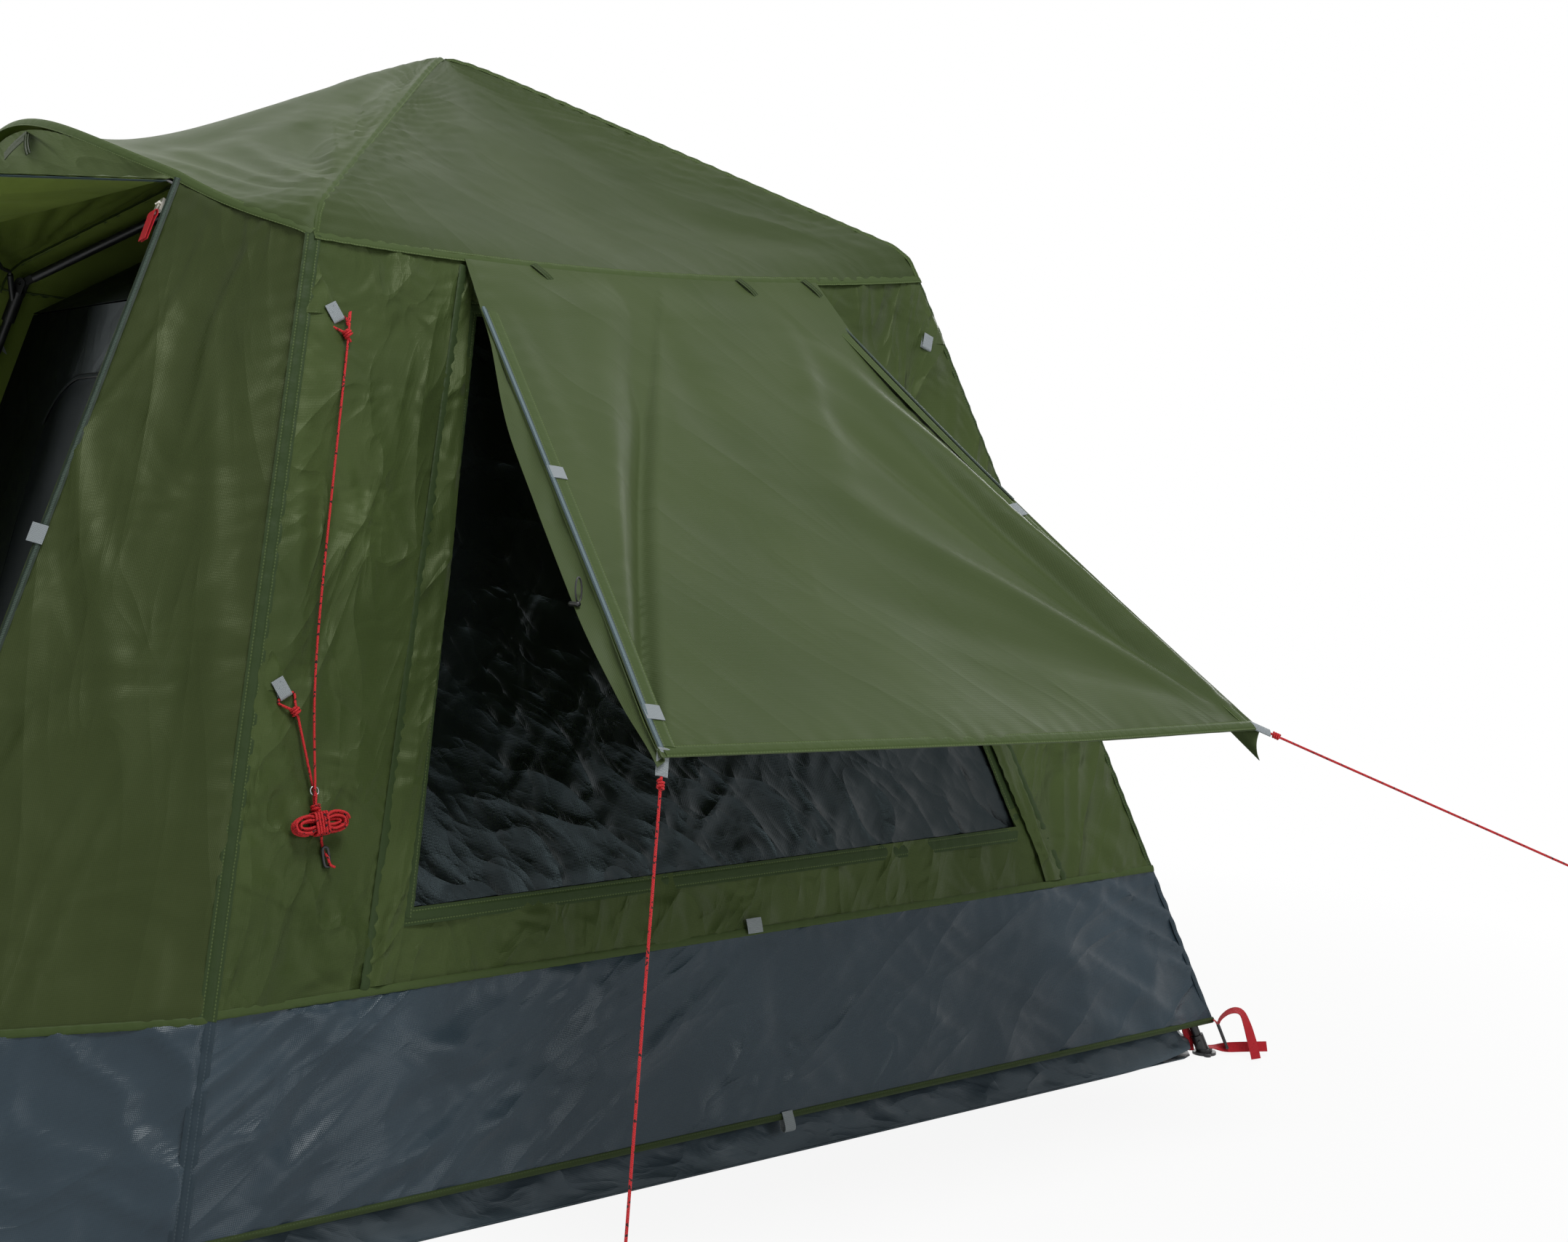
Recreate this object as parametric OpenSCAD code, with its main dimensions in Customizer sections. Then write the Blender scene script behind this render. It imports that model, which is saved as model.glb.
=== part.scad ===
// Instant-frame cabin tent with a screened side window, a propped window awning and a front vestibule.
// Frame: +Z up, origin on the ground under the hub, the door faces -Y, millimetres.

/* [Base] */
// Distance between the fly corners at ground level, side to side
base_w = 2400; // [2200:10:2800]
// Distance between the fly corners at ground level, front to back
base_d = 2520; // [2300:10:2800]

/* [Roof] */
// Width of the roof at the eave corners
eave_w = 1510; // [1400:10:1700]
// Depth of the roof at the eave corners
eave_d = 1510; // [1400:10:1700]
// Height of the eave seam at the corners
eave_h = 1695; // [1600:5:1800]
// Height above the eave seam at which the roof bends into the leg line
elbow_rise = 60; // [40:5:80]
// Height of the roof apex
apex_h = 2212; // [2150:2:2350]
// Drop of the eave seam between two corners
eave_sag = 35; // [0:1:60]
// Hollow of a side roof panel below its straight line
roof_sag = 20; // [0:1:40]
// Hollow of the front roof panel below its straight line
front_sag = 62; // [0:1:90]

/* [Walls] */
// Thickness of a fabric panel
fabric_t = 2; // [1.5:0.1:3]
// Height of the seam between wall and skirt
skirt_h = 400; // [300:5:500]
// Height of the lower hem of the skirt
hem_h = 80; // [60:1:120]
// Diameter of the piping on the hem
piping_d = 8; // [6:0.5:12]
// Gap left at a sewn seam
seam_gap = 2.5; // [2:0.1:4]

/* [Window] */
// Height of the lower edge of the window screen
screen_low = 530; // [480:5:600]
// Height of the upper edge of the window screen
screen_high = 1570; // [1400:5:1590]
// Width of the window screen at its lower edge
screen_w = 1474; // [1200:2:1600]
// Height of the hinge line of the window awning
awning_h = 1635; // [1610:1:1645]
// Width of the window awning at its hinge line
awning_top_w = 880; // [700:5:1000]
// Width of the window awning at its lower edge, side hems folded in
awning_low_w = 1420; // [1200:5:1600]
// Width of the window awning at its lower edge, zipped shut
awning_shut_w = 1700; // [1500:5:1760]
// Length of the window awning from hinge line to lower edge
awning_len = 1240; // [1000:5:1250]
// Angle of the propped window awning from the vertical
awning_open = 48.6; // [40:0.1:60]
// Width of the folded side hems at the lower edge
side_hem = 130; // [60:5:180]

/* [Vestibule] */
// Reach of the brow in front of the elbows
brow_reach = 253; // [200:1:300]
// Rise of the brow above the elbows
brow_rise = 215; // [150:1:260]
// Width of the door opening at its head
door_head_w = 1000; // [800:10:1100]
// Width of the door opening at the hem
door_low_w = 1980; // [1800:10:2100]
// Distance from the base centre to the door line at the hem
door_low_y = 1830; // [1700:10:1950]
// Length of the lifted door panel
door_len = 1960; // [1700:10:2100]
// Width of the lifted door panel at its outer edge
door_out_w = 1980; // [1800:10:2100]
// Fall of the lifted door panel over its length
door_fall = 155; // [60:5:250]

/* [Frame] */
// Diameter of the roof poles and upper legs
pole_d = 22; // [20:0.5:24]
// Wall of the tubes
pole_wall = 1; // [0.8:0.1:1.5]
// Diameter of the lower legs
lower_d = 19; // [16:0.5:19]
// Distance from the fly surface to a leg's axis
leg_inset = 32; // [31:1:38]
// Height of the lower end of the upper legs
upper_end_h = 760; // [700:5:850]
// Length of lower leg kept inside the upper leg
leg_overlap = 150; // [100:5:200]
// Diameter of a pivot pin
pin_d = 8; // [6:0.5:10]
// Running clearance around a pin
pin_clear = 0.2; // [0.1:0.05:0.4]
// Diameter of the brow pole
brow_pole_d = 9; // [7:0.5:11]
// Diameter of the door panel's upright poles
prop_d = 16; // [14:0.5:20]

/* [Feet] */
// Radius of a foot's round flange
foot_r = 25; // [22:0.5:26]
// Thickness of a foot's flange
foot_t = 6; // [4:0.5:8]
// Diameter of the peg hole in a foot
peg_d = 6; // [5:0.5:7]

/* [Inner tent] */
// Distance from the fly to the floor tub's sides
tub_inset = 25; // [20:1:40]
// Height of the floor tub's sides
tub_h = 150; // [120:5:200]
// Corner cut of the floor tub
tub_cut = 130; // [110:5:180]
// Distance from the fly to the inner walls
inner_inset = 72; // [66:1:90]

/* [Guy lines] */
// Diameter of the guy rope
rope_d = 4.6; // [4:0.1:5.5]
// Number of loops in the tied hank
hank_loops = 8; // [4:4:12]
// Number of wraps round the hank's waist
hank_wraps = 5; // [3:1:6]
// Width of the grey webbing tabs
tab_w = 25; // [20:1:30]

/* [Hidden] */
$fn = 40;

olive = "#5d6440";
slate = "#4a4f52";
black = "#1d1e20";
steel = "#8d9194";
red = "#b3202a";
webbing = "#7f8588";

kx = (base_w - eave_w) / 2 / eave_h;
ky = (base_d - eave_d) / 2 / eave_h;
nx = sqrt(1 + kx * kx);
ny = sqrt(1 + ky * ky);
elbow_h = eave_h + elbow_rise;

// Small vector and placing helpers
function unit(v) = v / norm(v);
function lerp(a, b, k) = a + (b - a) * k;
function flipped(rows) = [for (i = [len(rows) - 1 : -1 : 0]) rows[i]];

module aim(a, b) {
    v = b - a;
    translate(a) rotate([0, acos(v.z / norm(v)), atan2(v.y, v.x)]) children();
}

module rod(a, b, d) aim(a, b) cylinder(h = norm(b - a), d = d);

module pipe(a, b, d, bore) {
    aim(a, b) difference() {
        cylinder(h = norm(b - a), d = d);
        translate([0, 0, -1]) cylinder(h = norm(b - a) + 2, d = bore);
    }
}

module frame(o, x, y, z) {
    multmatrix([[x.x, y.x, z.x, o.x], [x.y, y.y, z.y, o.y], [x.z, y.z, z.z, o.z], [0, 0, 0, 1]]) children();
}

// Fly surface: half sizes at a height, and the corner line moved inward by a distance
function half_x(z) = base_w / 2 - kx * z;
function half_y(z) = base_d / 2 - ky * z;
function corner(sx, sy, z, inset = 0) = [sx * (half_x(z) - inset * nx), sy * (half_y(z) - inset * ny), z];

// Sheet between two grids of points, one row after another, outer side first
module skin(outer, inner) {
    m = len(outer);
    n = len(outer[0]);
    all = concat([for (r = outer) for (p = r) p], [for (r = inner) for (p = r) p]);
    half = m * n;
    grid = [for (i = [0 : m - 2]) for (j = [0 : n - 2]) let (a = i * n + j)
        each [[a, a + n, a + 1], [a + 1, a + n, a + n + 1]]];
    back = [for (f = grid) [f[0] + half, f[2] + half, f[1] + half]];
    rim = concat(
        [for (j = [0 : n - 2]) [j, j + 1]],
        [for (i = [0 : m - 2]) [(i + 1) * n - 1, (i + 2) * n - 1]],
        [for (j = [n - 1 : -1 : 1]) [(m - 1) * n + j, (m - 1) * n + j - 1]],
        [for (i = [m - 1 : -1 : 1]) [i * n, (i - 1) * n]]
    );
    edge = [for (e = rim) each [[e[0], e[1], e[0] + half], [e[1], e[1] + half, e[0] + half]]];
    polyhedron(points = all, faces = concat(grid, back, edge));
}

// Normal of a grid at one point, from its neighbours
function grid_normal(g, i, j) = let (
    m = len(g) - 1,
    n = len(g[0]) - 1,
    across = g[i][min(j + 1, n)] - g[i][max(j - 1, 0)],
    along = g[min(i + 1, m)][j] - g[max(i - 1, 0)][j]
) unit(cross(across, along));

module cloth(g, t = fabric_t) {
    skin(g, [for (i = [0 : len(g) - 1]) [for (j = [0 : len(g[0]) - 1]) g[i][j] - t * grid_normal(g, i, j)]]);
}

// Tube swept along a list of points, with a fixed number of sides
function tube_ring(path, i, r, sides, up) = let (
    n = len(path) - 1,
    along = unit(path[min(i + 1, n)] - path[max(i - 1, 0)]),
    side = unit(cross(along, up)),
    top = cross(side, along)
) [for (k = [0 : sides - 1]) path[i] + r * (cos(360 * k / sides) * side + sin(360 * k / sides) * top)];

module sweep(path, d, sides, up) {
    n = len(path);
    points = [for (i = [0 : n - 1]) each tube_ring(path, i, d / 2, sides, up)];
    body = [for (i = [0 : n - 2]) for (k = [0 : sides - 1]) let (a = i * sides, l = (k + 1) % sides)
        each [[a + k, a + l, a + sides + k], [a + l, a + sides + l, a + sides + k]]];
    first = [for (k = [1 : sides - 2]) [0, k + 1, k]];
    last = [for (k = [1 : sides - 2]) let (a = (n - 1) * sides) [a, a + k, a + k + 1]];
    polyhedron(points = points, faces = concat(body, first, last));
}

// Corner line of legs, elbow pivots and hub pivots
leg_lean = norm([kx, ky, 1]);
hub_h = apex_h - 77;
hub_r = 58;
hub_half = 15;
hub_pivot_r = 44;
elbow_drop = 40;
pivot_h = elbow_h - elbow_drop;
function leg_down(sx, sy) = [sx * kx, sy * ky, -1] / leg_lean;
function elbow_pivot(sx, sy) = corner(sx, sy, pivot_h, leg_inset);
function hub_pivot(sx, sy) = let (e = elbow_pivot(sx, sy)) [0, 0, hub_h] + hub_pivot_r * unit([e.x, e.y, 0]);
function pole_out(sx, sy) = unit(elbow_pivot(sx, sy) - hub_pivot(sx, sy));
function elbow_axis(sx, sy) = unit(cross(leg_down(sx, sy), pole_out(sx, sy)));
function hub_axis(sx, sy) = unit(cross([0, 0, 1], pole_out(sx, sy)));

eye_t = 11;
eye_r = 11;
eye_len = 34;
cheek_t = 6;
cheek_gap = 0.4;
pin_hole = pin_d + pin_clear;
pin_head = 3;
pin_half = eye_t / 2 + cheek_gap + cheek_t;

// Hub with four slots for the pole ends
module hub_body() {
    color(black) difference() {
        union() {
            translate([0, 0, hub_h - hub_half]) cylinder(h = 2 * hub_half, r = hub_r);
            translate([0, 0, hub_h - hub_half - 16]) cylinder(h = 17, r1 = 14, r2 = 26);
        }
        for (sx = [-1, 1], sy = [-1, 1]) {
            frame([0, 0, hub_h], unit([elbow_pivot(sx, sy).x, elbow_pivot(sx, sy).y, 0]),
                hub_axis(sx, sy), [0, 0, 1]) {
                translate([hub_pivot_r - eye_r - 5, -eye_t / 2 - cheek_gap, -hub_half - 1])
                    cube([hub_r, eye_t + 2 * cheek_gap, 2 * hub_half + 2]);
                translate([hub_pivot_r, 0, 0]) rotate([90, 0, 0])
                    cylinder(h = 2 * pin_half, d = pin_hole, center = true);
            }
        }
        translate([0, 0, hub_h - hub_half - 30]) cylinder(h = 30, d = 12);
    }
}

// Domed cap on the hub
module hub_cap() {
    cap_r = 27;
    cap_h = 26;
    color(black) translate([0, 0, hub_h + hub_half]) intersection() {
        cylinder(h = cap_h, r = cap_r);
        translate([0, 0, cap_h - 40]) sphere(r = 40, $fn = 60);
    }
}

// Pivot pins of the hub and the elbows, with a head at each end
module pivot_pin(at, axis) {
    rod(at - pin_half * axis, at + pin_half * axis, pin_d);
    rod(at + pin_half * axis, at + (pin_half + pin_head) * axis, pin_d + 4);
}

module pivot_pins() {
    color(steel) for (sx = [-1, 1], sy = [-1, 1]) {
        reach = (pin_half - 0.5) * hub_axis(sx, sy);
        pivot_pin(elbow_pivot(sx, sy), elbow_axis(sx, sy));
        rod(hub_pivot(sx, sy) - reach, hub_pivot(sx, sy) + reach, pin_d);
    }
}

// Roof pole: a tube with a flat eye at each end
module pole_eye(at, along, axis) {
    frame(at, along, axis, cross(along, axis)) difference() {
        union() {
            rotate([90, 0, 0]) cylinder(h = eye_t, r = eye_r, center = true);
            translate([0, -eye_t / 2, -eye_r * 0.8]) cube([eye_len, eye_t, eye_r * 1.6]);
        }
        rotate([90, 0, 0]) cylinder(h = eye_t + 2, d = pin_hole, center = true);
    }
}

module roof_pole(sx, sy) {
    a = hub_pivot(sx, sy);
    b = elbow_pivot(sx, sy);
    v = pole_out(sx, sy);
    color(black) union() {
        rod(a + (eye_len - 2) * v, b - (eye_len - 2) * v, pole_d);
        pole_eye(a, v, hub_axis(sx, sy));
        pole_eye(b, -v, elbow_axis(sx, sy));
    }
}

// Elbow: two cheeks on the pivot and a socket on the upper leg, with a stub for the brow pole in front
socket_top = 22;
socket_end = 95;
socket_d = 31;
socket_floor = 42;
module elbow(sx, sy) {
    at = elbow_pivot(sx, sy);
    down = leg_down(sx, sy);
    axis = elbow_axis(sx, sy);
    cheek_in = eye_t / 2 + cheek_gap;
    color(black) difference() {
        union() {
            rod(at + socket_top * down, at + socket_end * down, socket_d);
            for (s = [-1, 1]) {
                frame(at + s * (cheek_in + cheek_t / 2) * axis, down, axis, cross(down, axis)) {
                    rotate([90, 0, 0]) cylinder(h = cheek_t, r = 13, center = true);
                    translate([0, -cheek_t / 2, -13]) cube([socket_top + 6, cheek_t, 26]);
                }
            }
            if (sy < 0) {
                rod(at + 55 * down, brow_start(sx), brow_stub_d);
            }
        }
        rod(at + socket_floor * down, at + (socket_end + 2) * down, pole_d + 0.3);
        rod(at - 30 * axis, at + 30 * axis, pin_hole);
    }
}

// Telescoping legs
function on_leg(sx, sy, z) = corner(sx, sy, z, leg_inset);
upper_top = socket_floor + 1;
lower_bore = lower_d - 2 * pole_wall;
upper_bore = pole_d - 2 * pole_wall;
foot_socket_h = 12;
module upper_leg(sx, sy) {
    top = elbow_pivot(sx, sy) + upper_top * leg_down(sx, sy);
    color(black) pipe(on_leg(sx, sy, upper_end_h), top, pole_d, upper_bore);
}

module lower_leg(sx, sy) {
    top = on_leg(sx, sy, upper_end_h) - leg_overlap * leg_down(sx, sy);
    color(steel) pipe(on_leg(sx, sy, foot_socket_h), top, lower_d, lower_bore);
}

// Lock collars on the lower ends of the upper legs, each with a thumb button
lock_d = 32;
lock_up = 36;
lock_down = 22;
module leg_locks() {
    color(black) for (sx = [-1, 1], sy = [-1, 1]) {
        down = leg_down(sx, sy);
        end = on_leg(sx, sy, upper_end_h);
        inward = unit(cross(cross(down, [sx, sy, 0]), down));
        difference() {
            union() {
                rod(end - lock_up * down, end + lock_down * down, lock_d);
                rod(end + 4 * down, end + 4 * down - (lock_d / 2 + 5) * inward, 12);
            }
            rod(end - (lock_up + 1) * down, end + 0.5 * down, pole_d + 0.3);
            rod(end, end + (lock_down + 1) * down, lower_d + 1);
        }
    }
}

// Foot: a round flange on the ground with an ear for the peg, and a leaning collar with two lugs
foot_collar_d = 27;
foot_collar_len = 44;
foot_boss_d = 34;
foot_boss_h = 12;
peg_out = foot_r + 1;
peg_side = [0.8, -0.6];
ear_r = peg_d / 2 + 4.5;
module foot(sx, sy) {
    base = on_leg(sx, sy, 0);
    up = -leg_down(sx, sy);
    out = unit([sx, sy, 0]);
    side = cross([0, 0, 1], out);
    ear = base + peg_out * [sx * peg_side.x, sy * peg_side.y, 0];
    color(black) difference() {
        union() {
            translate(base) cylinder(h = foot_t, r = foot_r);
            translate(ear) cylinder(h = foot_t, r = ear_r);
            translate(base) cylinder(h = foot_boss_h, d = foot_boss_d);
            rod(base + foot_boss_h / 2 * up, base + foot_collar_len * up, foot_collar_d);
            for (s = [-1, 1]) {
                rod(base + 30 * up, base + 30 * up + s * 19 * side, 9);
            }
        }
        rod(on_leg(sx, sy, foot_socket_h - 0.2), base + 120 * up, lower_d + 0.2);
        translate(ear - [0, 0, 1]) cylinder(h = foot_t + 2, d = peg_d);
    }
}

// Brow: the arched front edge of the roof, from elbow to elbow, at an angle from one side to the other
brow_half = half_x(elbow_h);
brow_back = half_y(elbow_h);
function brow(a, inset = 0) = let (s = sin(a)) [
    (brow_half - inset) * cos(a),
    -(brow_back - inset + brow_reach * pow(s, 1.4)),
    elbow_h - 1.2 * inset + brow_rise * pow(s, 4)
];
door_angle = acos(door_head_w / 2 / brow_half);
door_head = brow(door_angle);

// Brow pole and its stubs on the front elbows
brow_pole_inset = 20;
brow_first = 16;
brow_stub_d = 15;
brow_pole_back = 18;
function brow_pole_point(a) = brow(a, brow_pole_inset) + [0, brow_pole_back * sin(a), 0];
function brow_start(sx) = let (p = brow_pole_point(brow_first)) [sx * p.x, p.y, p.z];
module brow_pole() {
    steps = 26;
    path = [for (i = [0 : steps]) brow_pole_point(lerp(brow_first, 180 - brow_first, i / steps))];
    lead = unit(path[0] - (elbow_pivot(1, -1) + 55 * leg_down(1, -1)));
    tail = [-lead.x, lead.y, lead.z];
    route = concat([path[0] + 0.4 * lead, path[0] + 8 * lead], [for (i = [2 : steps - 2]) path[i]],
        [path[steps] + 8 * tail, path[steps] + 0.4 * tail]);
    color(black) sweep(route, brow_pole_d, 10, [0, 0.3, 1]);
}

// Roof panels. A hip runs straight to the elbow and then down the leg line to the eave seam.
hip_bend = 0.93;
roof_rows = [0.006, 0.12, 0.26, 0.4, 0.55, 0.7, 0.83, hip_bend, 0.97, 1];
roof_cols = 10;
function hip(v, ridge, low) = v <= hip_bend
    ? [ridge * v / hip_bend, lerp(apex_h, elbow_h, v / hip_bend)]
    : let (k = (v - hip_bend) / (1 - hip_bend)) [lerp(ridge, low, k), lerp(elbow_h, eave_h, k)];
function roof_point(u, v, across, along, mid) = let (
    h = hip(v, across[0], across[1]),
    w = hip(v, along[0], along[1]),
    m = [mid * v, lerp(apex_h, eave_h - eave_sag, v) - 4 * roof_sag * v * (1 - v)]
) [lerp(m[0], h[0], u * u), w[0] * u, lerp(m[1], h[1], u * u)];
lean_in = [0.6, 0.6, 0.9] * fabric_t * 1.1;
edge_x = [half_x(elbow_h), half_x(eave_h)];
edge_y = [half_y(elbow_h), half_y(eave_h)];
function side_roof(edge_out, edge_along, mid) = [for (v = roof_rows)
    [for (j = [0 : roof_cols]) roof_point(2 * j / roof_cols - 1, v, edge_out, edge_along, mid)]];
function pulled_in(rows) = [for (r = rows) [for (j = [0 : len(r) - 1]) let (u = 2 * j / (len(r) - 1) - 1)
    r[j] - [lean_in.x, lean_in.y * u, lean_in.z]]];

module side_roof_panel(edge_out, edge_along, mid) {
    rows = side_roof(edge_out, edge_along, mid);
    skin(flipped(rows), flipped(pulled_in(rows)));
}

module roof_right() color(olive) side_roof_panel(edge_x, edge_y, half_x(eave_h - eave_sag));

module roof_left() rotate([0, 0, 180]) roof_right();

module roof_back() color(olive) rotate([0, 0, 90]) side_roof_panel(edge_y, edge_x, half_y(eave_h - eave_sag));

// Front roof panel, from the apex to the brow
front_cols = 20;
front_rows = [0.006 / hip_bend, 0.15, 0.3, 0.45, 0.6, 0.75, 0.88, 1];
function front_point(a, v) = let (u = cos(a), p = lerp([0, 0, apex_h], brow(a), v))
    p - [0, 0, 4 * front_sag * v * (1 - v) * (1 - u * u)];
module roof_front() {
    outer = [for (v = front_rows) [for (j = [0 : front_cols]) front_point(180 * j / front_cols, v)]];
    inner = [for (r = outer) [for (j = [0 : front_cols]) let (u = cos(180 * j / front_cols))
        r[j] - [lean_in.x * u, -lean_in.y, lean_in.z]]];
    color(olive) skin(outer, inner);
}

// Flat wall panels. The side frame has its X along the wall, Y up the slope and Z outward.
module on_side(k, n, half) {
    frame([half, 0, 0], [0, 1, 0], [-k, 0, 1] / n, [1, 0, k] / n) children();
}

module on_right() on_side(kx, nx, base_w / 2) children();

module on_left() mirror([1, 0, 0]) on_right() children();

module on_back() rotate([0, 0, 90]) on_side(ky, ny, base_d / 2) children();

module panel(points, t = fabric_t) translate([0, 0, -t]) linear_extrude(t) polygon(points);

// Outline of a wall between two heights, with an edge cut at each side; the top follows the eave seam
function eave_line(n, reach, steps = 12) = [for (i = [0 : steps]) let (u = 1 - 2 * i / steps)
    [reach(eave_h) * u, (eave_h - eave_sag * (1 - u * u)) * n - seam_gap]];
function band(n, reach, low, high, shift = 0) = [
    [-reach(low), low * n + shift], [reach(low), low * n + shift],
    [reach(high), high * n + shift], [-reach(high), high * n + shift]
];
function side_reach(z) = half_y(z) - fabric_t * ny - seam_gap;
function back_reach(z) = half_x(z);
function wall_outline(n, reach) = concat([[-reach(skirt_h), skirt_h * n], [reach(skirt_h), skirt_h * n]],
    eave_line(n, reach));

function screen_half(z) = screen_w / 2 - ky * (z - screen_low);
screen_outline = [
    [-screen_half(screen_low), screen_low * nx], [screen_half(screen_low), screen_low * nx],
    [screen_half(screen_high), screen_high * nx], [-screen_half(screen_high), screen_high * nx]
];

module side_wall() {
    difference() {
        panel(wall_outline(nx, function (z) side_reach(z)));
        translate([0, 0, -fabric_t - 1]) linear_extrude(fabric_t + 2) polygon(screen_outline);
    }
}

module wall_right() color(olive) on_right() side_wall();

module wall_left() color(olive) on_left() side_wall();

module wall_back() color(olive) on_back() panel(wall_outline(ny, function (z) back_reach(z)));

module window_screen_right() color(black) on_right() panel(screen_outline);

module window_screen_left() color(black) on_left() panel(screen_outline);

module skirt_right() color(slate) on_right() panel(band(nx, function (z) side_reach(z), hem_h, skirt_h));

module skirt_left() color(slate) on_left() panel(band(nx, function (z) side_reach(z), hem_h, skirt_h));

module skirt_back() color(slate) on_back() panel(band(ny, function (z) back_reach(z), hem_h, skirt_h));

// Vestibule side: a ruled panel from the leg line to the door's edge, with the brow as its top
door_low = [door_low_w / 2, -door_low_y, hem_h];
function door_edge(z) = lerp(door_low, door_head, (z - hem_h) / (door_head.z - hem_h));
vestibule_cols = 8;
vestibule_start = 0.012;
function vestibule_at(u, z) = lerp(corner(1, -1, z), door_edge(z), u);
function vestibule_point(u, v) = let (
    leg = corner(1, -1, lerp(skirt_h, elbow_h - seam_gap, v)),
    jamb = door_edge(lerp(skirt_h, door_head.z - seam_gap, v)),
    bow = brow(u * door_angle) - lerp(brow(0), door_head, u)
) lerp(leg, jamb, u) + bow * pow(v, 6) - [0, 0, seam_gap * pow(v, 6)];
module vestibule_side() {
    rows = 12;
    cloth([for (i = [rows : -1 : 0]) [for (j = [0 : vestibule_cols])
        vestibule_point(lerp(vestibule_start, 1, 1 - j / vestibule_cols), i / rows)]]);
}

module vestibule_right() color(olive) vestibule_side();

module vestibule_left() color(olive) mirror([1, 0, 0]) vestibule_side();

module vestibule_skirt() {
    rows = 2;
    cloth([for (i = [rows : -1 : 0]) [for (j = [0 : 3])
        vestibule_at(lerp(vestibule_start, 1, 1 - j / 3), lerp(hem_h, skirt_h - 0.3, i / rows))]]);
}

module vestibule_skirts() {
    color(slate) vestibule_skirt();
    color(slate) mirror([1, 0, 0]) vestibule_skirt();
}

// Piping under the hem, all round from one side of the door to the other
module hem_piping() {
    z = hem_h - piping_d / 2 - 0.3;
    right = [door_edge(hem_h) + [-1, 0, z - hem_h], corner(1, -1, z, 1), corner(1, 1, z, 1)];
    left = [for (i = [2 : -1 : 0]) [-right[i].x, right[i].y, right[i].z]];
    route = concat(right, left);
    color(olive) sweep(route, piping_d, 8, [0, 0, 1]);
}

// Crescent gable between the brow and the door head
gable_cols = 14;
function gable_point(j, v) = let (
    a = lerp(door_angle, 180 - door_angle, j / gable_cols),
    top = brow(a, 6),
    low = [lerp(door_head.x, -door_head.x, j / gable_cols), door_head.y + 8, door_head.z - 2]
) lerp(low, top, v);
module brow_gable() {
    color(olive) cloth([for (v = [0, 0.5, 1])
        [for (j = [1 : gable_cols - 1]) gable_point(j, lerp(0.02, 0.9, v))]]);
}

// Door panel, lifted and carried by two upright poles; it turns on the door head
door_hinge = [0, door_head.y - 3, door_head.z - 8];
door_belly = 30;
function door_point(u, v) = door_hinge + [
    u * lerp(door_head_w, door_out_w, v) / 2,
    -door_len * v,
    -door_fall * v - door_belly * sin(180 * v) * (1 - u * u)
];
door_first = 0.008;
module door_panel() {
    color(olive) cloth([for (i = [12 : -1 : 0]) [for (j = [0 : 12])
        door_point(1 - j / 6, lerp(door_first, 1, i / 12))]]);
}

prop_back = 30;
prop_in = 25;
module door_props() {
    top = door_point(1, 1 - prop_back / door_len) - [prop_in, 0, 0];
    tip_h = 14;
    color(steel) for (s = [-1, 1]) {
        translate([s * top.x, top.y, 0]) {
            cylinder(h = top.z - fabric_t - 4 - tip_h, d = prop_d);
            translate([0, 0, top.z - fabric_t - 4 - tip_h]) cylinder(h = tip_h, d1 = prop_d, d2 = 8);
            cylinder(h = 8, d = prop_d + 8);
        }
    }
}

// Window awning, hinged on the side wall just under the eave
hinge_out = 4;
awning_hinge = [half_x(awning_h) + hinge_out * nx, 0, awning_h];
awning_along = [sin(awning_open), 0, -cos(awning_open)];
awning_up = [cos(awning_open), 0, sin(awning_open)];
awning_first = 0.004;
crease_deep = 14;
crease_w = 0.11;
crease_top = -0.03;
twist = 26;
awning_belly = 16;
function awning_half(v) = lerp(awning_top_w, awning_low_w, v) / 2;
function awning_crease(u, v) = let (far = (u - lerp(crease_top, -1, v)) / crease_w)
    crease_deep * sin(180 * v) * exp(-far * far);
function awning_lift(u, v) = -awning_crease(u, v) - twist * u * v - awning_belly * sin(180 * v) * (1 - u * u);
function awning_point(u, v, lift = 0) = awning_hinge + [0, u * awning_half(v), 0]
    + awning_len * v * awning_along + (awning_lift(u, v) + lift) * awning_up;
hem_first = 0.22;
function awning_hem(s, k, v) = let (w = awning_half(v), in = side_hem * v * k)
    awning_point(s * (1 - in / w), v, -fabric_t * 0.6 - 11 * k);
module awning_right() {
    cols = 16;
    rows = 12;
    color(olive) {
        cloth([for (i = [0 : rows]) [for (j = [0 : cols])
            awning_point(1 - 2 * j / cols, lerp(awning_first, 1, i / rows))]]);
        cloth([for (i = [0 : rows]) [for (k = [0, 0.5, 1]) awning_hem(1, k, lerp(hem_first, 1, i / rows))]]);
        cloth([for (i = [0 : rows]) [for (k = [1, 0.5, 0]) awning_hem(-1, k, lerp(hem_first, 1, i / rows))]]);
    }
    color(webbing) for (s = [-1, 1]) {
        awning_tab(s);
    }
}

// Webbing tab on an outer corner of the window awning, pointing along its rope
tab_len = 38;
tab_t = 3;
guy_front_end = [1970, -1000, rope_d];
guy_back_end = [2050, 1275, 500];
function awning_corner(s) = awning_point(s * 0.985, 0.99) - 0.5 * fabric_t * awning_up;
function guy_end(s) = s < 0 ? guy_front_end : guy_back_end;
function guy_pull(s) = unit(guy_end(s) - awning_corner(s));
module awning_tab(s) {
    along = guy_pull(s);
    across = unit(cross(along, awning_up));
    frame(awning_corner(s), along, across, cross(along, across))
        translate([-8, -tab_w / 2, -tab_t / 2]) cube([tab_len + 8, tab_w, tab_t]);
}

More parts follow.
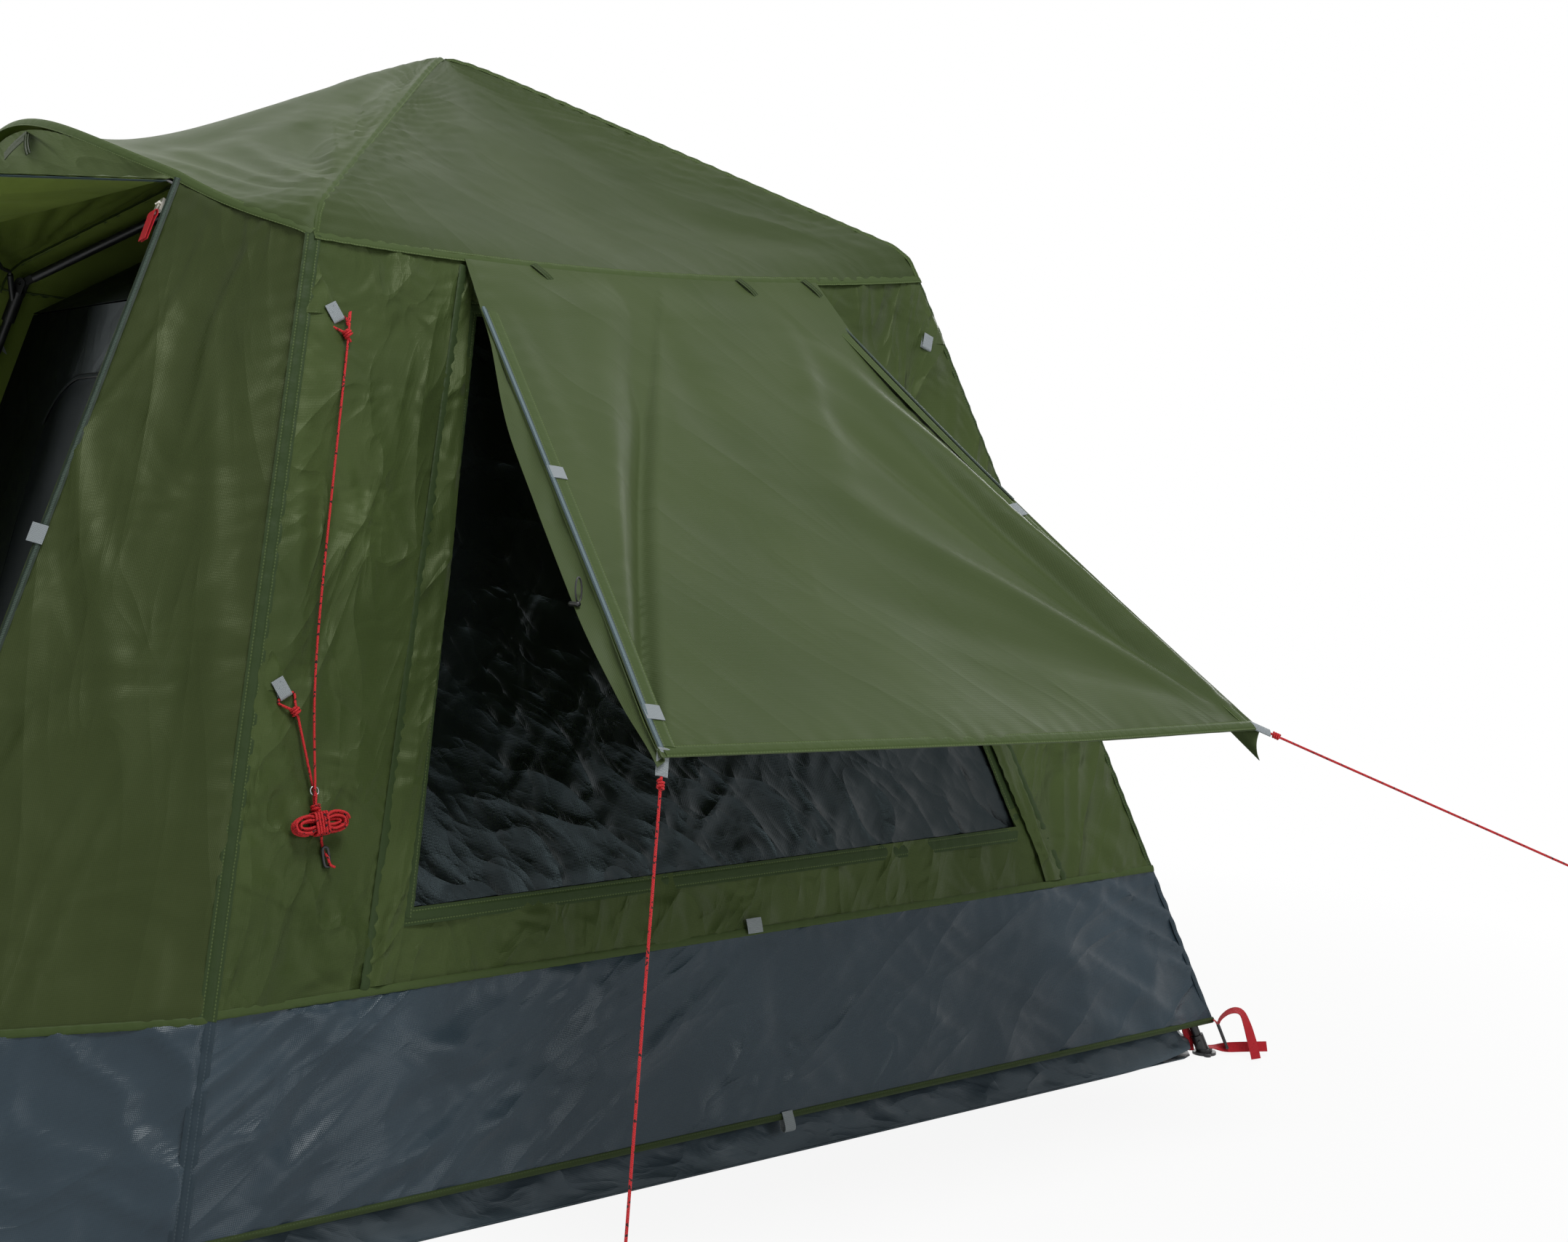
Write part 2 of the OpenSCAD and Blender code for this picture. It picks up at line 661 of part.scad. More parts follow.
// Left window awning, zipped shut against its wall
module awning_left() {
    low = awning_h - awning_len / nx;
    color(olive) on_left() translate([0, 0, hinge_out]) panel([
        [-awning_shut_w / 2, low * nx], [awning_shut_w / 2, low * nx],
        [awning_top_w / 2, awning_h * nx], [-awning_top_w / 2, awning_h * nx]
    ]);
}

// Floor tub: a tray with cut corners, whose sides lean in to the foot of the inner walls
tub_top_cut = 4;
function tub_outline(w, d, cut) = [
    [w - cut, -d], [w, cut - d], [w, d - cut], [w - cut, d],
    [cut - w, d], [-w, d - cut], [-w, cut - d], [cut - w, -d]
];
function tub_in(z) = lerp(tub_inset, inner_inset, z / tub_h);
function tub_cut_at(z) = lerp(tub_cut, tub_top_cut, z / tub_h);
function tub_ring(z, t) = let (inset = tub_in(z) + t)
    [for (p = tub_outline(half_x(z) - inset * nx, half_y(z) - inset * ny, tub_cut_at(z))) [p.x, p.y, z]];
module floor_tub() {
    floor_t = 3;
    rings = [tub_ring(0, 0), tub_ring(tub_h, 0), tub_ring(tub_h, fabric_t), tub_ring(floor_t, fabric_t)];
    sides = [for (r = [0 : 2]) for (i = [0 : 7]) let (a = 8 * r + i, b = 8 * r + (i + 1) % 8)
        each [[a, a + 8, b], [b, a + 8, b + 8]]];
    ground = [for (i = [1 : 6]) [0, i, i + 1]];
    floor = [for (i = [1 : 6]) [24, 25 + i, 24 + i]];
    color(black) polyhedron(points = [for (r = rings) each r], faces = concat(sides, ground, floor));
}

// Inner tent: three plain walls, a front with a door opening, a screen door and a pyramid roof
inner_below_eave = 55;
inner_top = eave_h - inner_below_eave;
inner_seam = 0.3;
inner_low = tub_h + inner_seam;
function inner_shift(k) = (inner_inset + fabric_t) * k;
function inner_side(z) = half_y(z) - (inner_inset + fabric_t) * ny - 1;
function inner_back(z) = half_x(z) - inner_inset * nx;
module inner_panel(k, n, reach) {
    translate([0, 0, -inner_inset]) panel(band(n, reach, inner_low, inner_top, inner_shift(k)));
}

module inner_walls() {
    color(black) {
        on_right() inner_panel(kx, nx, function (z) inner_side(z));
        on_left() inner_panel(kx, nx, function (z) inner_side(z));
        on_back() inner_panel(ky, ny, function (z) inner_back(z));
    }
}

inner_door_w = 900;
inner_door_low = 220;
inner_door_high = 1480;
inner_door_gap = 0.4;
module door_shape(grow) {
    r = 160 - grow;
    w = inner_door_w / 2 - grow;
    low = inner_door_low * ny + grow;
    high = inner_door_high * ny - grow;
    translate([-w, low]) square([2 * w, high - low - r]);
    translate([r - w, low]) square([2 * (w - r), high - low]);
    for (s = [-1, 1]) {
        translate([s * (w - r), high - r]) circle(r = r);
    }
}
module on_front() mirror([0, 1, 0]) on_back() children();
module inner_front() {
    color(olive) on_front() translate([0, 0, -inner_inset - fabric_t]) linear_extrude(fabric_t) difference() {
        polygon(band(ny, function (z) inner_back(z), inner_low, inner_top, inner_shift(ky)));
        door_shape(0);
    }
}
module inner_door() {
    color(black) on_front() translate([0, 0, -inner_inset - fabric_t]) linear_extrude(fabric_t)
        door_shape(inner_door_gap);
}
inner_peak = hub_h - 62;
module inner_roof() {
    w = inner_back(inner_top) - 1;
    d = half_y(inner_top) - inner_inset * ny;
    ring = [[w, -d, 0], [w, d, 0], [-w, d, 0], [-w, -d, 0]];
    low = inner_top + fabric_t * kx / nx + inner_seam;
    top = [for (p = ring) p + [0, 0, low + 3]];
    bottom = [for (p = ring) p + [0, 0, low]];
    faces = [for (i = [0 : 3]) let (j = (i + 1) % 4)
        each [[i, 4, j], [i + 5, j + 5, 9], [i, j, i + 5], [j, j + 5, i + 5]]];
    color(black) polyhedron(points = concat(top, [[0, 0, inner_peak]], bottom, [[0, 0, inner_peak - 3]]),
        faces = faces);
}

// Ropes of the window awning
rope_sides = 8;
function guy_start(s) = awning_corner(s) + (tab_len + 0.5) * guy_pull(s);
module awning_guy(s) {
    a = guy_start(s);
    b = guy_end(s);
    steps = 12;
    color(red) sweep([for (i = [0 : steps]) lerp(a, b, i / steps)], rope_d, rope_sides, [0, 0, 1]);
}

module awning_guy_front() awning_guy(-1);

module awning_guy_back() awning_guy(1);

// Corner guy line on the right wall: a rope tied to two webbing loops and turned through a ring, and the
// rest of the rope tied up in a hank. The wall frame has its X along the wall, Y up the slope and Z outward.
function on_wall(y, z, out) = [y, z * nx, out];
loop_gap = 0.8;
loop_t = 1.4;
loop_len = 26;
loop_turn = -65;
loop_mid = loop_t + (rope_d + loop_gap) / 2;
function near_corner(z, away) = on_wall(away - half_y(z), z, 0);
high_loop = near_corner(eave_h - 133, 52.6);
low_loop = near_corner(0.54 * eave_h, 44.5);
function below_loop(y, z, out) = low_loop + on_wall(y, z, out);
tie_spread = rope_d / 2 + 0.3;
knot_out = 2 * rope_d + 1;
knot_at = loop_len + 30;
tie_half = [
    [knot_at, tie_spread, knot_out], [loop_len + 17, 10, 7],
    [loop_len + 6, tab_w / 2 + 4.5, loop_mid + 0.2], [loop_len, tab_w / 2 + 1, loop_mid]
];
tie_path = concat([[knot_at + 16, -tie_spread, knot_out]],
    [for (p = tie_half) [p.x, -p.y, p.z]], flipped(tie_half));
function turned(at, p) = at + [
    p.x * cos(loop_turn) - p.y * sin(loop_turn), p.x * sin(loop_turn) + p.y * cos(loop_turn), p.z
];
ring_at = below_loop(39, -181, 12);
ring_r = 7.5;
ring_wire = 2.6;
bend_r = (rope_d + ring_wire) / 2 + 0.3;
function ring_bend(s) = [for (a = [0 : 30 : 180])
    ring_at + [0, s * (ring_r - bend_r * sin(a)), bend_r * cos(a)]];
hank_at = below_loop(36, -235, 22);
link_low = hank_at.y + 19.5;
link_knot = [ring_at.x - 2, link_low + 8, ring_at.z];
bridle_path = concat(
    [for (p = tie_path) turned(high_loop, p)], [below_loop(81, 65, 14)],
    ring_bend(1), [for (p = flipped(tie_path)) turned(low_loop, p)]
);
link_path = concat(
    [link_knot + [0, -7, tie_spread], link_knot + [0, 7, tie_spread]],
    ring_bend(-1), [link_knot + [0, 7, -tie_spread], link_knot + [0, -7, -tie_spread]]
);

// Coil of one and a half turns round two strands that lie side by side
lay_step = rope_d + 0.7;
lay_clear = 0.6;
function round_box(a, half_w, half_d) = let (r = rope_d + lay_clear, c = cos(a), s = sin(a)) [
    half_w * max(-1, min(1, 3 * c)) + r * c, half_d * max(-1, min(1, 3 * s)) + r * s
];
module knot() {
    sweep([for (i = [0 : 24]) let (a = 22.5 * i, p = round_box(a, tie_spread, 0))
        [p.x, lay_step * (a / 360 - 0.75), p.y]], rope_d, 6, [0, 1, 0]);
}

// Rope slider: a plate with round ends and a slot
slider_mid = below_loop(46, -288, 10);
guy_slider = [16, 38, 5];
guy_slot = [rope_d + 1.4, 24];
module stadium(w, l, h) {
    translate([-w / 2, -(l - w) / 2, -h / 2]) cube([w, l - w, h]);
    for (s = [-1, 1]) {
        translate([0, s * (l - w) / 2, 0]) cylinder(h = h, d = w, center = true);
    }
}
past_slider = guy_slider.z / 2 + rope_d / 2 + 0.6;
tail_path = [for (p = [[-6, 34, 4], [-2, 26, -past_slider], [0, 9, -past_slider], [0, 3.5, 0],
    [0, -2, past_slider], [3, -14, past_slider], [11, -19, past_slider]]) slider_mid + p];

module bridle_rope() {
    color(red) on_right() {
        sweep(bridle_path, rope_d, rope_sides, [0.03, 0.02, 1]);
        sweep(link_path, rope_d, rope_sides, [1, 0.02, 0]);
        sweep(tail_path, rope_d, rope_sides, [1, 0.02, 0]);
        for (at = [high_loop, low_loop]) {
            translate(turned(at, [knot_at, 0, knot_out])) rotate(loop_turn - 90) knot();
        }
        translate(link_knot) rotate([0, 90, 0]) knot();
    }
}

hank_pitch = 8.2;
hank_inner = 4.2;
hank_len = 36;
hank_narrow = 0.38;
hank_waist_half = 18;
hank_layers = 4;
hank_layer = rope_d + 1;
hank_rings = 24;
hank_stretch = hank_loops / hank_layers;
function hank_waist(y) = 1 - hank_narrow / (1 + pow(y / hank_waist_half, 6));
function smooth_step(k) = let (c = min(1, max(0, k))) c * c * (3 - 2 * c);
// Distance along the spiral from the innermost loop: in, out, in and out again, one layer each
function hank_turn(s) = let (m = s % (2 * hank_stretch)) abs(m - hank_stretch);
function hank_depth(s) = hank_layer * ((1 - hank_layers) / 2
    + [for (c = [1 : hank_layers - 1]) smooth_step((s - c * hank_stretch) * 2 + 0.5)]
    * [for (c = [1 : hank_layers - 1]) 1]);
function hank_point(s) = let (
    w = hank_inner + hank_pitch * hank_turn(s),
    y = (hank_len + hank_pitch * hank_turn(s)) * cos(360 * s),
    across = sin(360 * s)
) [w * sign(across) * pow(abs(across), 0.7) * hank_waist(y), y, hank_depth(s)];
hank_count = hank_loops * hank_rings;
hank_path = [for (i = [0 : hank_count]) hank_point(i / hank_rings)];
function least_gap(path, skip) = min([for (i = [0 : len(path) - 1]) for (j = [i + skip : 1 : len(path) - 1])
    norm(path[i] - path[j])]) - rope_d;

// Wraps round the waist of the hank, clear of its loops
wrap_half = lay_step * hank_wraps / 2;
bundle_w = (hank_inner + hank_pitch * (hank_stretch - 0.2)) * hank_waist(wrap_half);
bundle_d = hank_layer * (hank_layers - 1) / 2;
wrap_count = hank_wraps * hank_rings;
wrap_path = [for (i = [0 : wrap_count]) let (s = i / hank_rings, p = round_box(360 * s, bundle_w, bundle_d))
    [p.x, lay_step * s - wrap_half, p.y]];
hank_tilt = -87;
module guy_hank() {
    color(red) on_right() translate(hank_at) rotate(hank_tilt) {
        sweep(hank_path, rope_d, 6, [0.02, 0.03, 1]);
        sweep(wrap_path, rope_d, 6, [0, 1, 0]);
    }
    echo(hank_gap = least_gap(hank_path, 5), wrap_gap = least_gap(wrap_path, 6));
}

// Ring and rope slider of the corner guy line
module guy_fittings() {
    color(steel) on_right() translate(ring_at) rotate_extrude() translate([ring_r, 0]) circle(d = ring_wire);
    color(black) on_right() translate(slider_mid) difference() {
        stadium(guy_slider.x, guy_slider.y, guy_slider.z);
        stadium(guy_slot.x, guy_slot.y, guy_slider.z + 2);
    }
}

// Grey webbing: folded loops for the corner guys, and peg loops on the hem
hem_loop_w = 24;
module webbing_loop() {
    r = loop_mid;
    rotate([90, 0, 0]) linear_extrude(tab_w, center = true) difference() {
        union() {
            square([loop_len, 2 * r]);
            translate([loop_len, r]) circle(r = r);
        }
        translate([-1, loop_t]) square([loop_len + 1, 2 * (r - loop_t)]);
        translate([loop_len, r]) circle(r = r - loop_t);
    }
}
module side_tabs() {
    for (s = [-1, 1]) {
        mirror([s > 0 ? 1 : 0, 0, 0]) for (at = [high_loop, low_loop]) {
            translate(at) rotate(loop_turn) webbing_loop();
        }
    }
    translate([-hem_loop_w / 2, hem_h * nx + 2, 0]) cube([hem_loop_w, 40, tab_t]);
}
module webbing_tabs() {
    color(webbing) on_right() side_tabs();
    color(webbing) on_left() side_tabs();
    color(webbing) on_back() translate([-hem_loop_w / 2, hem_h * ny + 2, 0]) cube([hem_loop_w, 40, tab_t]);
}

// Straps at the corners: from the floor tub's cut corner to the foot, and past the foot through a ladder lock
// under the hem, with a free end that stands in an arch
strap_w = 20;
strap_t = 2;
strap_rise = 16;
strap_gap = 2;
lock_w = 27;
lock_t = 4;
lock_low = [54, strap_rise];
lock_high = [34, strap_rise + 52];
hem_tab = [29.5, hem_h - piping_d / 2];
hem_tab_w = 8;
arch = [[34, 66], [43, 88], [58, 98], [73, 100], [86, 91], [97, 71], [105, 46], [111, 24]];
tail_len = 66;
function arch_side(s) = [for (i = [0 : len(arch) - 1]) let (
    along = arch[min(i + 1, len(arch) - 1)] - arch[max(i - 1, 0)]
) arch[i] + s * strap_t / 2 * unit([-along.y, along.x])];
module strap_profile(points, w = strap_w) {
    rotate([90, 0, 0]) linear_extrude(w, center = true) polygon(points);
}
module ladder_lock() {
    run = lock_high - lock_low;
    translate([lock_low.x, 0, lock_low.y]) rotate([0, -atan2(run.y, run.x), 0])
        translate([0, -lock_w / 2, -lock_t / 2]) difference() {
            cube([norm(run), lock_w, lock_t]);
            for (x = [8, 22, 36]) {
                translate([x, 4, -1]) cube([9, lock_w - 8, lock_t + 2]);
            }
        }
}
module corner_strap(sx, sy) {
    tub = corner(sx, sy, strap_rise, tub_in(strap_rise)) - tub_cut_at(strap_rise) / 2 * [sx, sy, 0];
    base = on_leg(sx, sy, strap_rise);
    out = unit([base.x - tub.x, base.y - tub.y, 0]);
    side = cross([0, 0, 1], out);
    reach = norm([base.x - tub.x, base.y - tub.y, 0]) - foot_collar_d / 2 - strap_gap;
    frame(tub, out, side, [0, 0, 1]) {
        color(red) translate([0.5, -strap_w / 2, 0]) cube([reach - 0.5, strap_w, strap_t]);
    }
    frame([base.x, base.y, 0], out, side, [0, 0, 1]) {
        color(red) translate([foot_collar_d / 2 + strap_gap, -strap_w / 2, strap_rise - strap_t / 2])
            cube([lock_low.x + tail_len - foot_collar_d / 2 - strap_gap, strap_w, strap_t]);
        color(black) ladder_lock();
        color(red) strap_profile(concat(arch_side(1), flipped(arch_side(-1))));
        color(red) strap_profile(
            [hem_tab, lock_high, lock_high + [0, strap_t], hem_tab + [0, strap_t]], hem_tab_w);
    }
}
module corner_straps() {
    for (sx = [-1, 1], sy = [-1, 1]) {
        corner_strap(sx, sy);
    }
}

// Zip slider on the right door edge, with a bar on its front, and the pull tab that hangs on the bar
slider_from = 70;
slider_size = [12, 8, 26];
slider_clear = 3;
lug_t = 2;
bar_d = 4;
bar_out = 9;
bar_clear = 0.3;
eye_wall = 2;
neck_w = slider_size.x - 2 * lug_t - 1;
neck_len = 12;
pull_w = 28;
pull_len = 82;
pull_t = 3;
door_edge_dir = unit(door_low - door_head);
slider_across = unit([1, 0, 0] - door_edge_dir.x * door_edge_dir);
slider_front = cross(door_edge_dir, slider_across);
slider_at = door_head + slider_from * door_edge_dir - [slider_size.x / 2 + slider_clear, 0, 0];
module on_slider() frame(slider_at, slider_across, slider_front, door_edge_dir) children();
module door_slider() {
    half = slider_size.x / 2;
    color(steel) on_slider() {
        translate([-half, -slider_size.y / 2, -slider_size.z / 2]) cube(slider_size);
        translate([0, bar_out, 0]) rotate([0, 90, 0]) cylinder(h = slider_size.x, d = bar_d, center = true);
        for (x = [-half, half - lug_t]) {
            translate([x, 0, -bar_d / 2]) cube([lug_t, bar_out, bar_d]);
        }
    }
}
module door_pull() {
    bore = bar_d + 2 * bar_clear;
    color(red) on_slider() translate([0, bar_out, 0]) difference() {
        union() {
            rotate([0, 90, 0]) cylinder(h = neck_w, d = bore + 2 * eye_wall, center = true);
            translate([-neck_w / 2, -pull_t / 2, 0]) cube([neck_w, pull_t, neck_len]);
            translate([-pull_w / 2, -pull_t / 2, neck_len]) cube([pull_w, pull_t, pull_len - neck_len]);
        }
        rotate([0, 90, 0]) cylinder(h = neck_w + 2, d = bore, center = true);
    }
}

hub_body();
hub_cap();
pivot_pins();
roof_pole(1, -1);  // roof_pole_fr
roof_pole(-1, -1);  // roof_pole_fl
roof_pole(1, 1);  // roof_pole_br
roof_pole(-1, 1);  // roof_pole_bl
elbow(1, -1);  // elbow_fr
elbow(-1, -1);  // elbow_fl
elbow(1, 1);  // elbow_br
elbow(-1, 1);  // elbow_bl
upper_leg(1, -1);  // upper_leg_fr
upper_leg(-1, -1);  // upper_leg_fl
upper_leg(1, 1);  // upper_leg_br
upper_leg(-1, 1);  // upper_leg_bl
leg_locks();
lower_leg(1, -1);  // lower_leg_fr
lower_leg(-1, -1);  // lower_leg_fl
lower_leg(1, 1);  // lower_leg_br
lower_leg(-1, 1);  // lower_leg_bl
foot(1, -1);  // foot_fr
foot(-1, -1);  // foot_fl
foot(1, 1);  // foot_br
foot(-1, 1);  // foot_bl
brow_pole();
door_props();
roof_front();
roof_right();
roof_back();
roof_left();
wall_right();
wall_left();
wall_back();
vestibule_right();
vestibule_left();
skirt_right();
skirt_left();
skirt_back();
vestibule_skirts();
hem_piping();
brow_gable();
door_panel();
window_screen_right();
window_screen_left();
awning_right();
awning_left();
floor_tub();
inner_walls();
inner_front();
inner_door();
inner_roof();
awning_guy_front();
awning_guy_back();
bridle_rope();
guy_hank();
guy_fittings();
webbing_tabs();
corner_straps();
door_slider();
door_pull();
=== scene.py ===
import math
from types import SimpleNamespace
import bpy
import numpy as np
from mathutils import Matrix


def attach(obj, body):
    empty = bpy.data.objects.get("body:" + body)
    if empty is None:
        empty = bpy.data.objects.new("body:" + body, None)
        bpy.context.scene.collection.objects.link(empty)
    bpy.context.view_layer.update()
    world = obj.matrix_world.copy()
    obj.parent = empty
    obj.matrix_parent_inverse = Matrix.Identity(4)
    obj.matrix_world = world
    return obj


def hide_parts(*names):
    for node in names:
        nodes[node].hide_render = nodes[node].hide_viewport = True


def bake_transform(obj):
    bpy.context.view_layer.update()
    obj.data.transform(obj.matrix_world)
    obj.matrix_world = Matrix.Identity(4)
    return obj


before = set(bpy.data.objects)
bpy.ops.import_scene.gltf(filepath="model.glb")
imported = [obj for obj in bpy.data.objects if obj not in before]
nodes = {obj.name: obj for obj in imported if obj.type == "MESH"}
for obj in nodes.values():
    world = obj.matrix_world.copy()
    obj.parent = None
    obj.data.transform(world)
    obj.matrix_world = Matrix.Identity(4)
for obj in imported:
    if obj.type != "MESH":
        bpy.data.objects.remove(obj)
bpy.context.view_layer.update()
print("frame loaded:", len(nodes), "solids")

bpy.context.scene.view_settings.view_transform = "Standard"

# the photograph's frame, and a camera set where it was taken from
shot = {"place": (4.2013, -2.6753, 1.2588), "yaw": 54.6456, "pitch": 2.0, "focal": 3000.0,
        "centre": (759.83, 762.03), "size": (2157, 1708)}
bpy.ops.object.select_all(action="DESELECT")
bpy.ops.object.camera_add(location=shot["place"],
        rotation=(math.radians(90 - shot["pitch"]), 0, math.radians(shot["yaw"])))
camera = bpy.context.object
camera.data.sensor_width = 36
camera.data.lens = shot["focal"] / shot["size"][0] * 36
camera.data.shift_x = (shot["size"][0] / 2 - shot["centre"][0]) / shot["size"][0]
camera.data.shift_y = (shot["centre"][1] - shot["size"][1] / 2) / shot["size"][0]
camera.data.clip_end = 200
bpy.context.scene.camera = camera
print("camera set")


# colours are written as the eye names them and turned to linear light here
def srgb(text):
    parts = [int(text[i:i + 2], 16) / 255 for i in (1, 3, 5)]
    return tuple([c / 12.92 if c <= 0.04045 else ((c + 0.055) / 1.055) ** 2.4 for c in parts] + [1.0])


# a node with its settings: a socket among them is linked, anything else is set
def addNode(tree, kind, settings=None):
    node = tree.nodes.new("ShaderNode" + kind)
    for key, value in (settings or {}).items():
        if isinstance(value, bpy.types.NodeSocket):
            tree.links.new(value, node.inputs[key])
        elif isinstance(key, int) or key in node.inputs:
            node.inputs[key].default_value = value
        else:
            setattr(node, key, value)
    return node


def newMaterial(name):
    made = bpy.data.materials.new(name)
    made.use_nodes = True
    made.node_tree.nodes.clear()
    return made, made.node_tree


def mm(size):  # noise cells per metre for a cell of so many millimetres
    return 1000.0 / size


def stripes(size):  # wave scale for bands so many millimetres apart
    return 0.31416 * 1000.0 / size


# coated polyester: a fine even weave under a thin coating, soft folds with a low satin glint
def coatedCloth(name, look):
    made, tree = newMaterial(name)
    uv = addNode(tree, "TexCoord").outputs["UV"]
    # real threads lie 0.3 mm apart; drawn ten times as coarse so that the weave shows
    warp, weft = [addNode(tree, "TexWave", {"bands_direction": way, "Scale": stripes(look["thread"]),
            "Distortion": 0.6, "Detail": 1.0, "Vector": uv}).outputs["Fac"] for way in "XY"]
    weave = addNode(tree, "Math", {"operation": "ADD", 0: warp, 1: weft}).outputs["Value"]
    # creases run long one way, so the pattern is turned and drawn out along that way
    turned = addNode(tree, "Mapping", {"vector_type": "TEXTURE", "Scale": (1.0, look["long"], 1.0),
            "Rotation": (0, 0, math.radians(look["slant"])), "Vector": uv}).outputs["Vector"]
    crinkle = addNode(tree, "TexNoise", {"noise_type": "RIDGED_MULTIFRACTAL", "Scale": mm(look["crinkle"]),
            "Detail": look.get("detail", 3.0), "Roughness": 0.5, "Offset": 0.9, "Gain": 1.1,
            "Distortion": look.get("twist", 0.5), "Vector": turned}).outputs["Fac"]
    slack = addNode(tree, "TexNoise", {"Scale": mm(look["slack"]), "Detail": 2.0, "Distortion": 0.8,
            "Vector": uv}).outputs["Fac"]
    shade = addNode(tree, "TexNoise", {"Scale": mm(420), "Detail": 2.0, "Vector": uv}).outputs["Fac"]
    share = addNode(tree, "MapRange", {"From Min": 0.3, "From Max": 0.7, "Value": shade}).outputs["Result"]
    base = addNode(tree, "Mix", {"data_type": "RGBA", 0: share, 6: srgb(look["colour"]),
            7: srgb(look["worn"])}).outputs[2]
    fleck = addNode(tree, "MapRange", {"From Min": 0.2, "From Max": 1.8, "To Min": 0.93, "To Max": 1.04,
            "Value": weave}).outputs["Result"]
    tone = addNode(tree, "Mix", {"data_type": "RGBA", "blend_type": "MULTIPLY", 0: 1.0, 6: base,
            7: fleck}).outputs[2]
    gloss = addNode(tree, "MapRange", {"From Min": 0.3, "From Max": 0.7, "To Min": look["rough"] - 0.06,
            "To Max": look["rough"] + 0.06, "Value": slack}).outputs["Result"]
    fine = addNode(tree, "Bump", {"Strength": 0.25, "Distance": 0.0004, "Height": weave}).outputs["Normal"]
    small = addNode(tree, "Bump", {"Strength": 1.0, "Distance": look["creaseMm"] / 1000, "Height": crinkle,
            "Normal": fine}).outputs["Normal"]
    large = addNode(tree, "Bump", {"Strength": 1.0, "Distance": look["slackMm"] / 1000, "Height": slack,
            "Normal": small}).outputs["Normal"]
    shader = addNode(tree, "BsdfPrincipled", {"IOR": 1.5, "Specular IOR Level": look["spec"],
            "Specular Tint": (*look["tint"], 1.0), "Base Color": tone, "Roughness": gloss, "Normal": large})
    addNode(tree, "OutputMaterial", {"Surface": shader.outputs["BSDF"]})
    return made


# dyed nylon shines in its own colour
plain, cool, satin = (0.92, 0.98, 1.0), (0.7, 0.93, 1.0), (0.88, 1.0, 0.6)
clothKeys = ("colour", "worn", "thread", "crinkle", "slant", "long", "slack", "rough", "creaseMm", "slackMm",
        "spec", "tint", "twist", "detail")
clothRows = {
    # outer cloth: dull olive, with a satin glint along the folds of walls and vestibule
    "coatedPolyesterOlive": ("#4d5a38", "#465333", 3.0, 120, 35, 4.0, 260, 0.4, 1.0, 4.0, 0.08, plain),
    # roof side panels: the same olive cloth painted darker, as painted shade
    "coatedPolyesterRoof": ("#465233", "#3f4b2e", 3.0, 120, 35, 4.0, 260, 0.4, 1.4, 5.0, 0.08, plain),
    "coatedPolyesterWall": ("#475530", "#3a4727", 3.0, 105, -24, 3.2, 150, 0.4, 9.5, 22.0, 0.15, satin),
    # vestibule: the same outer cloth painted darker, as painted shade
    "coatedPolyesterVestibule": ("#3c4628", "#354022", 3.0, 130, 6, 6.0, 240, 0.36, 4.0, 18.0, 0.18, satin),
    # gable under the brow: the same olive cloth painted much paler, as painted light where the brow shades it
    "coatedPolyesterGable": ("#7d8d61", "#728257", 3.0, 90, 80, 3.0, 200, 0.4, 1.6, 6.0, 0.1, plain),
    # skirt and floor: a smoother coating, with pale streaks on its creases
    "coatedPolyesterSlate": ("#3b4953", "#333f48", 3.0, 120, -64, 4.0, 180, 0.26, 5.5, 9.0, 0.2, plain),
    "oxfordFloorCloth": ("#4a575f", "#3f4a52", 3.0, 60, -75, 2.5, 110, 0.34, 3.0, 6.0, 0.2, plain),
    # mesh and inner cloth: near black, with cool grey glints where they crinkle
    "screenMeshBlack": ("#080a0c", "#050708", 2.6, 84, 48, 2.2, 130, 0.27, 5.0, 6.0, 0.32, cool, 0.15, 5.0),
    "innerPolyesterBlack": ("#0b0e0e", "#070909", 2.6, 120, 15, 2.5, 220, 0.5, 1.6, 8.0, 0.25, cool),
    "doorMeshBlack": ("#0c0f11", "#080a0c", 2.6, 160, 8, 3.0, 240, 0.55, 0.8, 5.0, 0.14, cool),
    # the outer cloth's inner face: paler and yellower, partly its own coated side and partly painted light
    # shining through the thin cloth
    "coatedPolyesterUnderside": ("#7f9246", "#73863d", 3.0, 150, 30, 2.5, 240, 0.5, 0.8, 6.0, 0.1, plain),
}
cloths = [coatedCloth(name, dict(zip(clothKeys, row))) for name, row in clothRows.items()]
oliveCloth, roofClothPaintedShade, wallCloth, vestClothPaintedShade, gableClothPaintedLight, slateCloth = cloths[:6]
tubCloth, meshCloth, innerCloth, doorMesh, undersideAndPaintedLight = cloths[6:]


